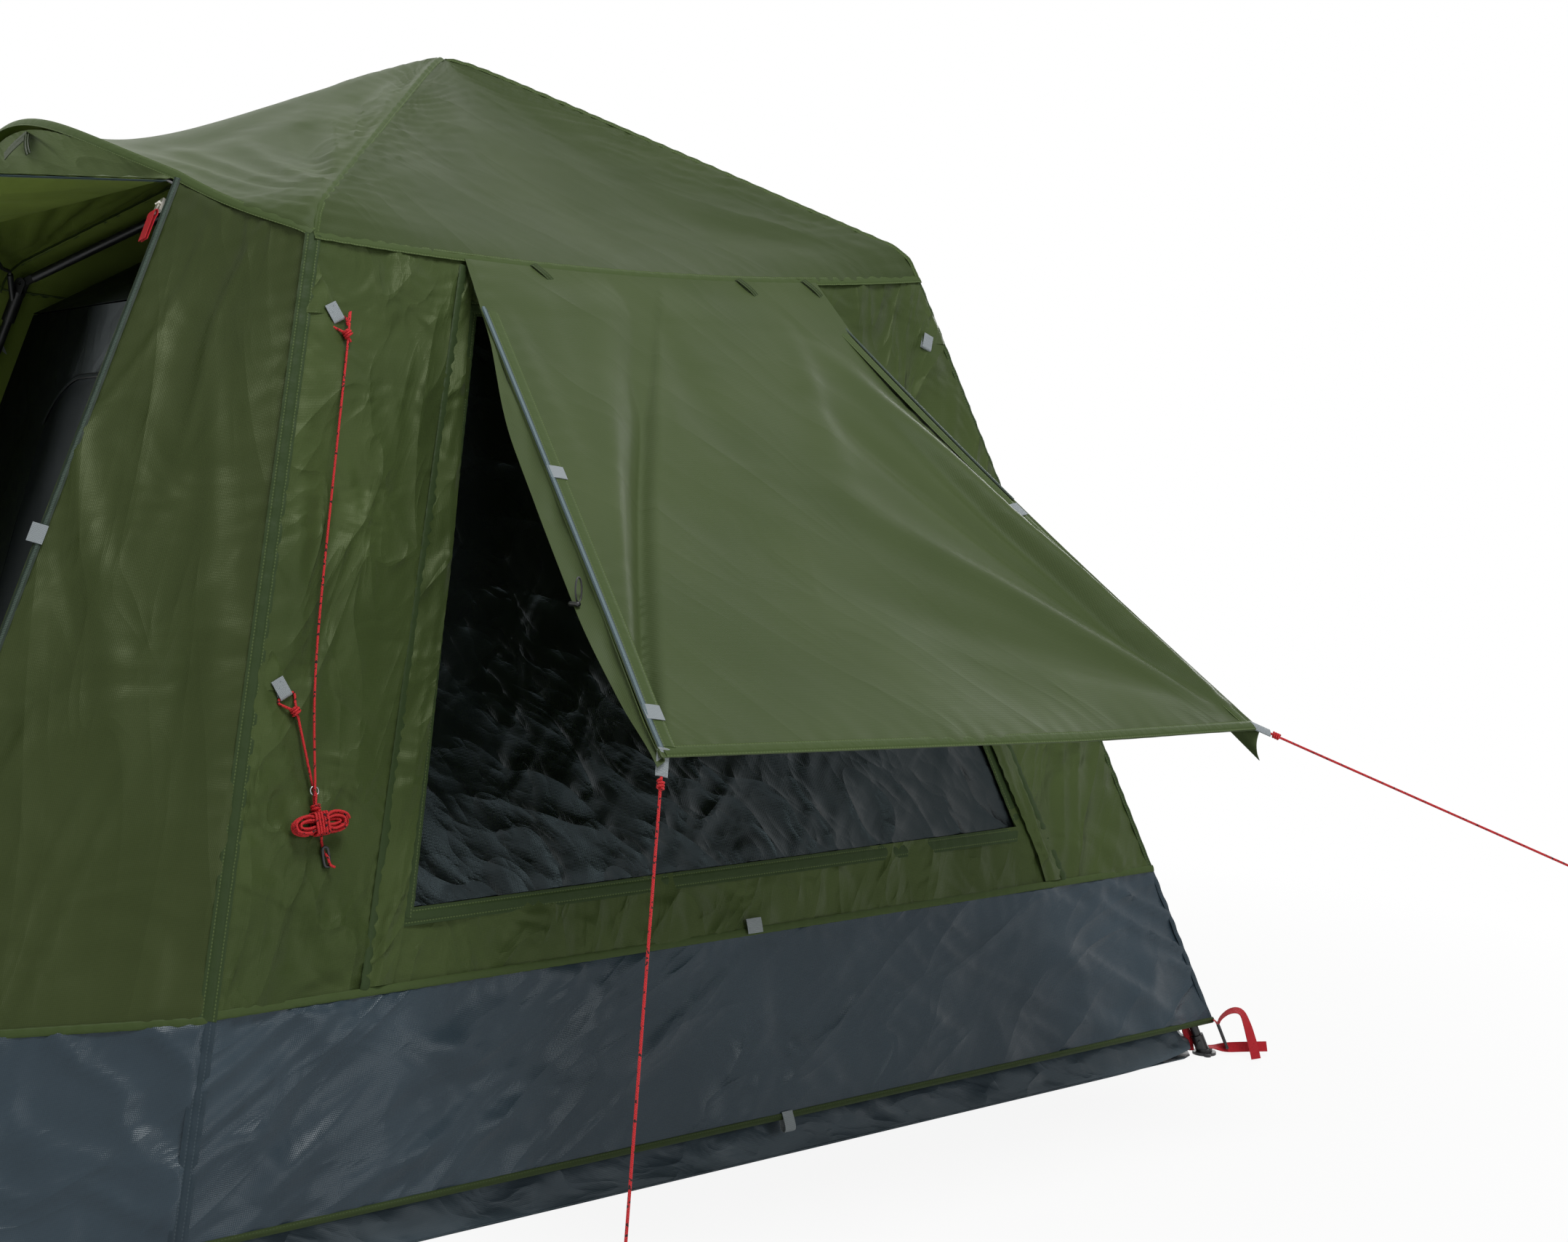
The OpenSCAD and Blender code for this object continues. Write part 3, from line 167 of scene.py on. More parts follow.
# sewn tape: the panel's own cloth turned under, with two rows of thread that dimple it
def sewnTape(name, colour, thread, row, rough):
    made, tree = newMaterial(name)
    uv = addNode(tree, "TexCoord").outputs["UV"]
    across = addNode(tree, "SeparateXYZ", {"Vector": uv}).outputs["X"]
    # stitches are 3 mm long on the real seam; drawn 6 mm long so that they show
    dash = addNode(tree, "TexWave", {"bands_direction": "Y", "Scale": stripes(6.0), "Vector": uv}).outputs["Fac"]
    offset = addNode(tree, "Math", {"operation": "ABSOLUTE", 0: across}).outputs["Value"]
    past = addNode(tree, "Math", {"operation": "SUBTRACT", 0: offset, 1: row}).outputs["Value"]
    away = addNode(tree, "Math", {"operation": "ABSOLUTE", 0: past}).outputs["Value"]
    inRow = addNode(tree, "MapRange", {"From Min": 0.0006, "From Max": 0.0014, "To Min": 1.0, "To Max": 0.0,
            "Value": away}).outputs["Result"]
    stitch = addNode(tree, "Math", {"operation": "MULTIPLY", 0: inRow, 1: dash}).outputs["Value"]
    groove = addNode(tree, "MapRange", {"From Min": 0.0, "From Max": 0.004, "Value": away}).outputs["Result"]
    ripple = addNode(tree, "TexNoise", {"Scale": mm(18), "Detail": 2.0, "Vector": uv}).outputs["Fac"]
    tone = addNode(tree, "Mix", {"data_type": "RGBA", 0: stitch, 6: srgb(colour), 7: srgb(thread)}).outputs[2]
    dip = addNode(tree, "Bump", {"Strength": 0.6, "Distance": 0.0015, "Height": groove}).outputs["Normal"]
    pucker = addNode(tree, "Bump", {"Strength": 0.5, "Distance": 0.003, "Height": ripple,
            "Normal": dip}).outputs["Normal"]
    shader = addNode(tree, "BsdfPrincipled", {"IOR": 1.5, "Roughness": rough, "Specular IOR Level": 0.08,
            "Base Color": tone, "Normal": pucker})
    addNode(tree, "OutputMaterial", {"Surface": shader.outputs["BSDF"]})
    return made


oliveTape = sewnTape("sewnSeamOlive", "#475632", "#5f6e46", row=0.009, rough=0.5)
wallTape = sewnTape("sewnSeamWall", "#37462a", "#5c6b42", row=0.0095, rough=0.45)
slateTape = sewnTape("sewnSeamSlate", "#36424a", "#4b575e", row=0.006, rough=0.45)
bindingTape = sewnTape("sewnBindingOlive", "#364326", "#4a5838", row=0.004, rough=0.5)


# nylon coil zip: a dull tape with a ribbed coil down its middle
def coilZip(name, tape, coil, toothMm=3.0, half=0.003):
    made, tree = newMaterial(name)
    uv = addNode(tree, "TexCoord").outputs["UV"]
    across = addNode(tree, "SeparateXYZ", {"Vector": uv}).outputs["X"]
    tooth = addNode(tree, "TexWave", {"bands_direction": "Y", "Scale": stripes(toothMm),
            "Vector": uv}).outputs["Fac"]
    away = addNode(tree, "Math", {"operation": "ABSOLUTE", 0: across}).outputs["Value"]
    inCoil = addNode(tree, "MapRange", {"From Min": half * 0.8, "From Max": half, "To Min": 1.0, "To Max": 0.0,
            "Value": away}).outputs["Result"]
    ridge = addNode(tree, "Math", {"operation": "MULTIPLY", 0: inCoil, 1: tooth}).outputs["Value"]
    tone = addNode(tree, "Mix", {"data_type": "RGBA", 0: inCoil, 6: srgb(tape), 7: srgb(coil)}).outputs[2]
    ribbed = addNode(tree, "Bump", {"Strength": 0.8, "Distance": 0.0015, "Height": ridge}).outputs["Normal"]
    shader = addNode(tree, "BsdfPrincipled", {"IOR": 1.53, "Roughness": 0.5, "Specular IOR Level": 0.12,
            "Base Color": tone, "Normal": ribbed})
    addNode(tree, "OutputMaterial", {"Surface": shader.outputs["BSDF"]})
    return made


zipTape = coilZip("nylonCoilZip", "#39484a", "#74868b")
innerTape = coilZip("nylonCoilZipBlack", "#0c1011", "#1d2628")
# dark zip: the door jamb's zip, and also the awning's back zip darkened as a painted shadow line
darkZipAndShadowTape = coilZip("nylonCoilZipDark", "#2a352c", "#4d5b52")


# woven webbing and braided rope: ribs along a strap, slanted strands round a rope, with dark tracer flecks
def wovenStrap(name, colour, shade, fleck, slant, ribMm, fleckMm, fleckFrom):
    made, tree = newMaterial(name)
    uv = addNode(tree, "TexCoord").outputs["UV"]
    turned = addNode(tree, "Mapping", {"Rotation": (0, 0, math.radians(slant)), "Vector": uv}).outputs["Vector"]
    rib = addNode(tree, "TexWave", {"bands_direction": "Y", "Scale": stripes(ribMm), "Distortion": 0.4,
            "Vector": turned}).outputs["Fac"]
    cross = addNode(tree, "TexWave", {"bands_direction": "X", "Scale": stripes(ribMm),
            "Vector": turned}).outputs["Fac"]
    speck = addNode(tree, "TexNoise", {"Scale": mm(fleckMm), "Detail": 1.0, "Vector": uv}).outputs["Fac"]
    inFleck = addNode(tree, "MapRange", {"From Min": fleckFrom, "From Max": fleckFrom + 0.04,
            "Value": speck}).outputs["Result"]
    # the grooves between ribs and strands take the darker shade colour: painted shade
    groove = addNode(tree, "MapRange", {"From Min": 0.0, "From Max": 0.6, "Value": rib}).outputs["Result"]
    strand = addNode(tree, "Mix", {"data_type": "RGBA", 0: groove, 6: srgb(shade), 7: srgb(colour)}).outputs[2]
    tone = addNode(tree, "Mix", {"data_type": "RGBA", 0: inFleck, 6: strand, 7: srgb(fleck)}).outputs[2]
    both = addNode(tree, "Math", {"operation": "ADD", 0: rib, 1: cross}).outputs["Value"]
    ribbed = addNode(tree, "Bump", {"Strength": 0.6, "Distance": 0.0008, "Height": both}).outputs["Normal"]
    shader = addNode(tree, "BsdfPrincipled", {"IOR": 1.5, "Roughness": 0.62, "Specular IOR Level": 0.3,
            "Base Color": tone, "Normal": ribbed})
    addNode(tree, "OutputMaterial", {"Surface": shader.outputs["BSDF"]})
    return made


redRope = wovenStrap("braidedPolyesterRope", "#e03438", "#bc262c", "#1d0b0c", slant=35, ribMm=2.4, fleckMm=6.0,
        fleckFrom=0.6)
redStrap = wovenStrap("wovenStrapRed", "#cc2430", "#b01d28", "#a01924", slant=0, ribMm=2.0, fleckMm=9.0,
        fleckFrom=0.7)
greyStrap = wovenStrap("wovenStrapGrey", "#a3abaf", "#8a9296", "#767e82", slant=0, ribMm=2.0, fleckMm=9.0,
        fleckFrom=0.7)


# hard pieces: paint, moulded plastic and plated metal, each with its own small unevenness
def hardFinish(name, colour, worn, grainMm, cloudMm, rough, bumpy, metal, ior):
    made, tree = newMaterial(name)
    at = addNode(tree, "TexCoord").outputs["Object"]
    grain = addNode(tree, "TexNoise", {"Scale": mm(grainMm), "Detail": 3.0, "Vector": at}).outputs["Fac"]
    cloud = addNode(tree, "TexNoise", {"Scale": mm(cloudMm), "Detail": 2.0, "Vector": at}).outputs["Fac"]
    share = addNode(tree, "MapRange", {"From Min": 0.35, "From Max": 0.7, "Value": cloud}).outputs["Result"]
    tone = addNode(tree, "Mix", {"data_type": "RGBA", 0: share, 6: srgb(colour), 7: srgb(worn)}).outputs[2]
    gloss = addNode(tree, "MapRange", {"From Min": 0.3, "From Max": 0.7, "To Min": rough - 0.08,
            "To Max": rough + 0.1, "Value": cloud}).outputs["Result"]
    dimple = addNode(tree, "Bump", {"Strength": bumpy, "Distance": 0.0003, "Height": grain}).outputs["Normal"]
    shader = addNode(tree, "BsdfPrincipled", {"Metallic": metal, "IOR": ior, "Base Color": tone,
            "Roughness": gloss, "Normal": dimple})
    addNode(tree, "OutputMaterial", {"Surface": shader.outputs["BSDF"]})
    return made


paintedTube = hardFinish("powderCoatedSteelTube", "#1a1c1e", "#25282a", grainMm=1.2, cloudMm=60, rough=0.38,
        bumpy=0.25, metal=0.0, ior=1.5)
mouldedBlack = hardFinish("mouldedNylonBlack", "#151719", "#222527", grainMm=0.8, cloudMm=30, rough=0.45,
        bumpy=0.4, metal=0.0, ior=1.53)
platedSteel = hardFinish("zincPlatedSteel", "#a9adb0", "#83888c", grainMm=2.0, cloudMm=12, rough=0.28,
        bumpy=0.1, metal=1.0, ior=1.5)
nickelZinc = hardFinish("nickelPlatedZinc", "#dcd9d0", "#c2beb3", grainMm=2.0, cloudMm=12, rough=0.4, bumpy=0.1,
        metal=0.75, ior=1.5)
print("materials made")

# the shelter's own sizes, as the solids have them, in metres
sideName = {1: "Right", -1: "Left"}
fourWays = ((1, 1), (1, -1), (-1, 1), (-1, -1))  # right and left, each as it stands and turned front to back
tent = {"halfW": 1.2, "halfD": 1.26, "eave": 0.755, "eaveH": 1.695, "elbowH": 1.755, "apexH": 2.23,
        "skirtH": 0.4, "hemH": 0.08, "eaveSag": 0.035, "roofSag": 0.02, "frontSag": 0.032, "browSag": 0.05,
        "bend": 0.93}
kx = (tent["halfW"] - tent["eave"]) / tent["eaveH"]
ky = (tent["halfD"] - tent["eave"]) / tent["eaveH"]
nx, ny = math.hypot(1, kx), math.hypot(1, ky)


def halfX(z):
    return tent["halfW"] - kx * z


def halfY(z):
    return tent["halfD"] - ky * z


# quarter turns, with reach out and along
threeWalls = ((0, halfX, halfY), (1, halfY, halfX), (2, halfX, halfY))


def stacked(x, y, z):
    return np.stack(np.broadcast_arrays(*(np.asarray(part, float) for part in (x, y, z))), axis=-1)


def lerp(a, b, k):
    a, b = np.asarray(a, float), np.asarray(b, float)
    k = np.asarray(k, float)
    if k.ndim and (a.ndim or b.ndim):
        k = k[..., None]
    return a + (b - a) * k


def unit(v):
    v = np.asarray(v, float)
    return v / np.maximum(np.linalg.norm(v, axis=-1, keepdims=True), 1e-12)


def quarter(points, turns):
    x, y, z = points[..., 0], points[..., 1], points[..., 2]
    for _ in range(turns % 4):
        x, y = -y, x
    return stacked(x, y, z)


def onRight(y, z, out=0.0):
    return stacked(halfX(z) + out / nx, y, z + out * kx / nx)


def smooth(k):
    k = np.clip(k, 0, 1)
    return k * k * (3 - 2 * k)


# a seeded field of soft bumps, from -1 to 1, with cells of the given size
def bumps(x, y, cell, seed):
    table = np.random.RandomState(seed).uniform(-1, 1, (64, 64))
    gx, gy = np.asarray(x) / cell + 17.3, np.asarray(y) / cell + 9.1
    ix, iy = np.floor(gx).astype(int), np.floor(gy).astype(int)
    fx, fy = smooth(gx - ix), smooth(gy - iy)
    pick = lambda a, b: table[a % 64, b % 64]
    low = pick(ix, iy) * (1 - fx) + pick(ix + 1, iy) * fx
    high = pick(ix, iy + 1) * (1 - fx) + pick(ix + 1, iy + 1) * fx
    return low * (1 - fy) + high * fy


# folds drawn as strokes: from a point to a point, so wide and so deep, widening as they run
def strokes(x, y, marks):
    height = np.zeros_like(x)
    for x0, y0, x1, y1, wide, deep in marks:
        dx, dy = x1 - x0, y1 - y0
        run = math.hypot(dx, dy)
        t = ((x - x0) * dx + (y - y0) * dy) / run ** 2
        away = ((x - x0) * dy - (y - y0) * dx) / run
        taper = np.where((t > 0) & (t < 1), np.sin(math.pi * np.clip(t, 0, 1)) ** 0.8, 0.0)
        height += deep * taper * np.exp(-(away / (wide * (0.5 + np.clip(t, 0, 1)))) ** 2)
    return height


# sharp-backed creases that run one way, as coated cloth folds under a pull
def creases(x, y, turn, cell, stretch, seed):
    a = math.radians(turn)
    along, across = (x * math.cos(a) + y * math.sin(a)) / stretch, y * math.cos(a) - x * math.sin(a)
    bent = across + 0.4 * cell * bumps(along, across / 2, cell, seed + 7)
    return (1 - np.abs(bumps(along, bent, cell, seed))) ** 3 - 0.35


# thread pulls a seam short, so the cloth beside it stands in small ripples
def puckers(along, away, step, deep, reach, seed):
    warp = 0.35 * step * bumps(along, 0 * along, step * 3, seed)
    size = 0.55 + 0.45 * bumps(along, 0 * along + 1.0, step * 2.2, seed + 1)
    return deep * size * np.sin(2 * math.pi * (along + warp) / step) * np.exp(-np.clip(away, 0, None) / reach)


def folded(m, marks, deep, cell, seed):  # a panel's own folds on its general slackness
    return strokes(m.x, m.y, marks) + deep * bumps(m.x, m.y, cell, seed)


def activate(piece):
    bpy.ops.object.select_all(action="DESELECT")
    piece.select_set(True)
    bpy.context.view_layer.objects.active = piece


def applyModifier(piece, kind, settings):
    activate(piece)
    added = piece.modifiers.new("step", kind)
    for key, value in settings.items():
        setattr(added, key, value)
    bpy.ops.object.modifier_apply(modifier=added.name)


def newGrid(name, columns, rows):
    bpy.ops.object.select_all(action="DESELECT")
    bpy.ops.mesh.primitive_grid_add(x_subdivisions=columns, y_subdivisions=rows, size=2.0)
    piece = bpy.context.object
    piece.name = piece.data.name = name
    flat = np.empty(len(piece.data.vertices) * 3)
    piece.data.vertices.foreach_get("co", flat)
    return piece, piece.data, ((flat.reshape(-1, 3)[:, :2] + 1) / 2).T.copy()


def moveGrid(mesh, place, uv):
    mesh.vertices.foreach_set("co", place.ravel())
    loops = np.empty(len(mesh.loops), int)
    mesh.loops.foreach_get("vertex_index", loops)
    mesh.uv_layers.active.data.foreach_set("uv", uv[loops].ravel())
    mesh.update()


def lineFrom(at, way, first, last, count):
    return at + np.linspace(first, last, count)[:, None] * way


# how far each point of a net lies from its first row or column, measured along the cloth
def runAlong(net, axis):
    steps = np.linalg.norm(np.diff(net, axis=axis), axis=2)
    return np.concatenate([np.zeros_like(np.take(steps, [0], axis)), np.cumsum(steps, axis=axis)], axis=axis)


def strides(path):
    return np.linalg.norm(np.diff(path, axis=0), axis=1)


# a sheet starts as a flat grid, is moved into its shape, and gets the folds that it hangs with
def laySheet(name, shape, columns, rows, material, relief=None, thick=0.0014, inside=None, hole=None):
    piece, mesh, (u, v) = newGrid(name, columns, rows)
    place = shape(u, v)
    net = place.reshape(rows + 1, columns + 1, 3)
    left, low = runAlong(net, 1), runAlong(net, 0)
    right, top = left[:, -1:] - left, low[-1:, :] - low
    edge = np.minimum(left, right)
    rim = np.minimum(edge, np.minimum(low, top))
    # where each point lies on the cloth, in metres: from the middle, from each side and from the nearest side
    spot = SimpleNamespace(u=u, v=v, x=(left - left[:, -1:] / 2).ravel(), y=low.ravel(), left=left.ravel(),
            right=right.ravel(), low=low.ravel(), top=top.ravel(), edge=edge.ravel(), rim=rim.ravel())
    corner = np.cross(net[1:, 1:] - net[:-1, :-1], net[1:, :-1] - net[:-1, 1:])
    faceU, faceV = np.meshgrid((np.arange(columns) + 0.5) / columns, (np.arange(rows) + 0.5) / rows)
    inHole = hole(faceU, faceV) if hole else np.zeros((rows, columns), bool)
    piece["flatArea"] = float(np.linalg.norm(corner, axis=2)[~inHole].sum() / 2)
    piece["flatSize"] = (float(left[:, -1].max()), float(low[-1, :].max()))
    if relief:
        normal = unit(np.cross(np.gradient(net, axis=1), np.gradient(net, axis=0))).reshape(-1, 3)
        place = place + normal * relief(spot)[:, None]
    moveGrid(mesh, place, np.stack([spot.x, spot.y], axis=1))
    if hole:
        bpy.ops.object.mode_set(mode="EDIT")
        bpy.ops.mesh.select_all(action="DESELECT")
        bpy.ops.object.mode_set(mode="OBJECT")
        mesh.polygons.foreach_set("select", inHole.ravel())
        bpy.ops.object.mode_set(mode="EDIT")
        bpy.ops.mesh.select_mode(type="FACE")
        bpy.ops.mesh.delete(type="FACE")
        bpy.ops.object.mode_set(mode="OBJECT")
    mesh.materials.append(material)
    if inside:
        mesh.materials.append(inside)
    applyModifier(piece, "SOLIDIFY", {"thickness": thick, "offset": -1.0, "use_even_offset": False,
            "material_offset": 1 if inside else 0})
    bpy.ops.object.shade_smooth_by_angle(angle=math.radians(55))
    return piece


def fasten(piece, body, slot, *replaced):
    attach(piece, body)
    if replaced:
        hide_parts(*replaced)
    return piece


# what a sheet is fastened to, what it stands for and how it is held; its trim goes where it goes
def declare(piece, body, replaced, trim=(), bend=None):
    for part in (piece, *trim):
        if bend:
            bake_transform(part)
        else:
            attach(part, body)
    if replaced:
        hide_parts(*replaced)


# a strip of tape along a line of points, facing along one normal or a normal for each point
def layTape(name, points, normals, width, material, lift=0.0016, thick=0.0012, puff=0.0012, relief=None,
        columns=6):
    points = np.asarray(points, float)
    normals = unit(np.array(np.broadcast_to(normals, points.shape), float))
    at = np.concatenate([[0], np.cumsum(strides(points))])
    rows = max(len(points), int(at[-1] / 0.012))
    side = unit(np.cross(unit(np.gradient(points, at, axis=0)), normals))

    def shape(u, v):
        s = v * at[-1]
        get = lambda field: np.stack([np.interp(s, at, field[:, i]) for i in range(3)], axis=1)
        crown = 1 - (2 * u - 1) ** 2
        return (get(points) + get(side) * ((u - 0.5) * width)[:, None]
                + get(unit(normals)) * (lift + puff * crown)[:, None])

    return laySheet(name, shape, columns, rows, material, relief=relief, thick=thick)


def layStrap(name, points, normals, width, material, thick, columns=4):  # a flat strap, with no crown
    return layTape(name, points, normals, width, material, lift=0.0, thick=thick, puff=0.0, columns=columns)


def layPatch(points, normals, width):  # a flat reflective patch
    return layTape("patch", points, normals, width, greyStrap, lift=0.005, thick=0.0012, puff=0.0005, columns=4)


def rippled(step, deep, seed):  # a tape that its thread has pulled short
    return lambda m: puckers(m.y, 0 * m.y, step, deep, 1.0, seed)


def joinPieces(name, made):
    bpy.ops.object.select_all(action="DESELECT")
    for piece in made:
        piece.select_set(True)
    bpy.context.view_layer.objects.active = made[0]
    bpy.ops.object.join()
    made[0].name = made[0].data.name = name
    return made[0]


# a smooth line through a few points, with points an even step apart
def curveThrough(points, step):
    p = np.asarray(points, float)
    p = np.vstack([2 * p[0] - p[1], p, 2 * p[-1] - p[-2]])
    out = []
    for a, b, c, d in zip(p, p[1:], p[2:], p[3:]):
        count = max(2, int(np.linalg.norm(c - b) / step) + 1)
        t = np.linspace(0, 1, count, endpoint=False)[:, None]
        out.append(0.5 * (2 * b + (c - a) * t + (2 * a - 5 * b + 4 * c - d) * t ** 2
                + (3 * b - a - 3 * c + d) * t ** 3))
    return np.vstack(out + [p[-2][None]])


# rope, cord and binding are tubes: a grid rolled round its path, joined along its length and closed at its ends
def layTube(name, path, thick, material, sides=10, flat=1.0, up=(0.03, 0.02, 1.0)):
    path = np.asarray(path, float)
    at = np.concatenate([[0], np.cumsum(strides(path))])
    tangent = unit(np.gradient(path, axis=0))
    top = np.empty_like(path)
    guide = np.array(up, float)
    for i, t in enumerate(tangent):
        guide = unit(guide - t * np.dot(guide, t))
        top[i] = guide
    side = np.cross(tangent, top)
    piece, mesh, (u, v) = newGrid(name, sides, len(path) - 1)
    turn = 2 * math.pi * u
    row = np.rint(v * (len(path) - 1)).astype(int)
    ring = path[row] + thick / 2 * (np.cos(turn)[:, None] * side[row] * flat + np.sin(turn)[:, None] * top[row])
    moveGrid(mesh, ring, np.stack([turn / (2 * math.pi) * math.pi * thick, at[row]], axis=1))
    bpy.ops.object.mode_set(mode="EDIT")
    bpy.ops.mesh.select_all(action="SELECT")
    bpy.ops.mesh.remove_doubles(threshold=1e-6)
    bpy.ops.mesh.fill_holes(sides=sides + 2)
    bpy.ops.mesh.select_all(action="SELECT")
    bpy.ops.mesh.normals_make_consistent(inside=False)
    bpy.ops.object.mode_set(mode="OBJECT")
    mesh.materials.append(material)
    bpy.ops.object.shade_smooth()
    return piece


# window awning, as the solids hang it: hinge line, slope and the corners that its ropes pull
awning = {"hingeH": 1.635, "topHalf": 0.44, "lowHalf": 0.71, "length": 1.24, "open": 48.6, "twist": 0.026,
        "belly": 0.016, "crease": 0.014, "creaseTop": -0.03, "creaseWide": 0.11, "tab": 0.038, "hollow": 0.028,
        "short": 0.02}
awningHinge = np.array([halfX(awning["hingeH"]) + 0.004 * nx, 0, awning["hingeH"]])
openTurn = math.radians(awning["open"])
awningAlong = np.array([math.sin(openTurn), 0, -math.cos(openTurn)])
awningUp = np.array([math.cos(openTurn), 0, math.sin(openTurn)])


def awningHalf(v):
    return lerp(awning["topHalf"], awning["lowHalf"], v)


def awningValley(u, v):
    far = (u - lerp(awning["creaseTop"], -1, v)) / awning["creaseWide"]
    return awning["crease"] * np.sin(math.pi * np.clip(v, 0, 1)) * np.exp(-far ** 2)


def awningLift(u, v):
    return (-awningValley(u, v) - awning["twist"] * u * v
            - awning["belly"] * np.sin(math.pi * np.clip(v, 0, 1)) * (1 - u * u))


def awningPoint(u, v, lift=0.0):
    u, v = np.asarray(u, float), np.asarray(v, float)
    rise = awningLift(u, v) + lift
    pulledIn = awning["hollow"] * np.sin(math.pi * np.clip(v, 0, 1)) * np.clip(u, 0, 1) ** 3
    across = u * awningHalf(v) - pulledIn
    along = awning["length"] * v * (1 - awning["short"] * v * np.clip((0.3 - u) / 1.3, 0, 1))
    return (awningHinge + across[..., None] * (0, 1, 0) + along[..., None] * awningAlong
            + rise[..., None] * awningUp)


def awningCorner(s):
    return awningPoint(s * 0.985, 0.99) - 0.001 * awningUp


rope = {"thick": 0.0046, "frontEnd": (1.97, -1.0, 0.0046), "backEnd": (2.05, 1.275, 0.5), "loop": 0.07}


# a rope end tied back on itself: out round an eye and back to its knot
def ropeEye(end, pull, side, size):
    turn = np.linspace(0, 2 * math.pi, 29)
    along = -size * (1 + np.cos(turn)) / 2
    wide = 0.32 * size * np.sin(turn) * np.abs(np.sin(turn / 2)) ** 0.5
    return end + along[:, None] * pull + wide[:, None] * side


# turns of the rope's own end, wound tight round the strands that it holds
def knotTurns(at, along, out, turns, radius, pitch):
    along, out = unit(along), unit(out - np.dot(out, unit(along)) * unit(along))
    side = np.cross(along, out)
    a = np.linspace(0, 2 * math.pi * turns, int(14 * turns) + 1)
    lay = (a / (2 * math.pi) - turns / 2) * pitch
    return at + lay[:, None] * along + radius * (np.cos(a)[:, None] * out + np.sin(a)[:, None] * side)


for name, s, end in (("awningRopeFront", -1, rope["frontEnd"]), ("awningRopeBack", 1, rope["backEnd"])):
    end = np.array(end)
    corner = awningCorner(s)
    pull = unit(end - corner)
    start = corner + (awning["tab"] + 0.0005) * pull
    side = unit(np.cross(pull, (0, 0, 1)))
    knotAt = end - rope["loop"] * pull
    straight = lerp(start, knotAt, np.linspace(0, 1, 40))
    eye = ropeEye(end, pull, side, rope["loop"])
    path = np.vstack([straight, eye[1:]])
    path[:, 2] = np.maximum(path[:, 2], rope["thick"] / 2 + 0.0003)
    line = layTube(name, path, rope["thick"], redRope)
    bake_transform(line)
    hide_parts("awning_guy_front" if s < 0 else "awning_guy_back")
    for at, body in ((start + 0.012 * pull, "awning_right"), (knotAt - 0.006 * pull, "shelter")):
        wound = knotTurns(at, pull, (0, 0.2, 1.0), 3.0, rope["thick"] * 0.95, rope["thick"] * 0.98)
        turns = layTube(name + ("KnotTop" if body == "awning_right" else "KnotEnd"), wound,
                rope["thick"] * 0.92, redRope, sides=8)
        fasten(turns, body, "red_rope")
print("awning ropes laid")

# corner guy line on the right wall, in the wall's own frame: along, up the slope, out, in millimetres
guy = {"highZ": 1562.0, "lowZ": 0.54 * 1695, "loopTurn": math.radians(-65), "loopLen": 26.0, "spread": 2.6,
        "out": 10.2, "loopMid": 4.1, "tabWide": 25.0, "ringR": 7.5, "ringWire": 2.6}


def wallPlace(points):
    p = np.asarray(points, float) / 1000
    y, s, out = p[..., 0], p[..., 1], p[..., 2]
    return stacked(tent["halfW"] - s * kx / nx + out / nx, y, s / nx + out * kx / nx)


def nearCorner(z, away):
    return np.array([away - 1000 * halfY(z / 1000), z * nx, 0.0])


highLoop = nearCorner(guy["highZ"], 52.6)
lowLoop = nearCorner(guy["lowZ"], 44.5)
ringAt = lowLoop + (39, -181 * nx, 12)
hankAt = lowLoop + (36, -235 * nx, 22)
sliderMid = lowLoop + (46, -288 * nx, 10)


def turnFlat(points, angle):
    p, c, s = np.asarray(points, float), math.cos(angle), math.sin(angle)
    return np.stack([p[:, 0] * c - p[:, 1] * s, p[:, 0] * s + p[:, 1] * c, p[:, 2]], axis=1)


def turnedAt(at, points):
    return at + turnFlat(points, guy["loopTurn"])


ropeMm = 4.6
knotFrom = guy["loopLen"] + 30
tieHalf = [[knotFrom, guy["spread"], guy["out"]], [guy["loopLen"] + 17, 10, 7],
        [guy["loopLen"] + 6, guy["tabWide"] / 2 + 4.5, guy["loopMid"] + 0.2],
        [guy["loopLen"], guy["tabWide"] / 2 + 1, guy["loopMid"]]]
tie = [[knotFrom + 16, -guy["spread"], guy["out"]]] + [[x, -y, z] for x, y, z in tieHalf] + tieHalf[::-1]
bendR = (ropeMm + guy["ringWire"]) / 2 + 0.3


def ringBend(s):
    a = np.radians(np.arange(0, 181, 30))
    return ringAt + stacked(0, s * (guy["ringR"] - bendR * np.sin(a)), bendR * np.cos(a))


linkKnot = np.array([ringAt[0] - 2, hankAt[1] + 27.5, ringAt[2]])
bridlePoints = np.vstack([turnedAt(highLoop, tie), [lowLoop + (81, 65 * nx, 14)], ringBend(1),
        turnedAt(lowLoop, tie[::-1])])
linkPoints = np.vstack([linkKnot + [[0, -7, guy["spread"]], [0, 7, guy["spread"]]], ringBend(-1),
        linkKnot + [[0, 7, -guy["spread"]], [0, -7, -guy["spread"]]]])
tailPoints = np.add(sliderMid, [[-6, 34, 4], [-2, 26, -5.4], [0, 9, -5.4], [0, 3.5, 0], [0, -2, 5.4],
        [3, -14, 5.4], [11, -19, 5.4]])

hank = {"loops": 8, "layers": 4, "pitch": 8.2, "inner": 4.2, "half": 36.0, "narrow": 0.38, "waist": 18.0,
        "wraps": 5, "tilt": math.radians(-87)}
layer = ropeMm + 1
stretch = hank["loops"] / hank["layers"]


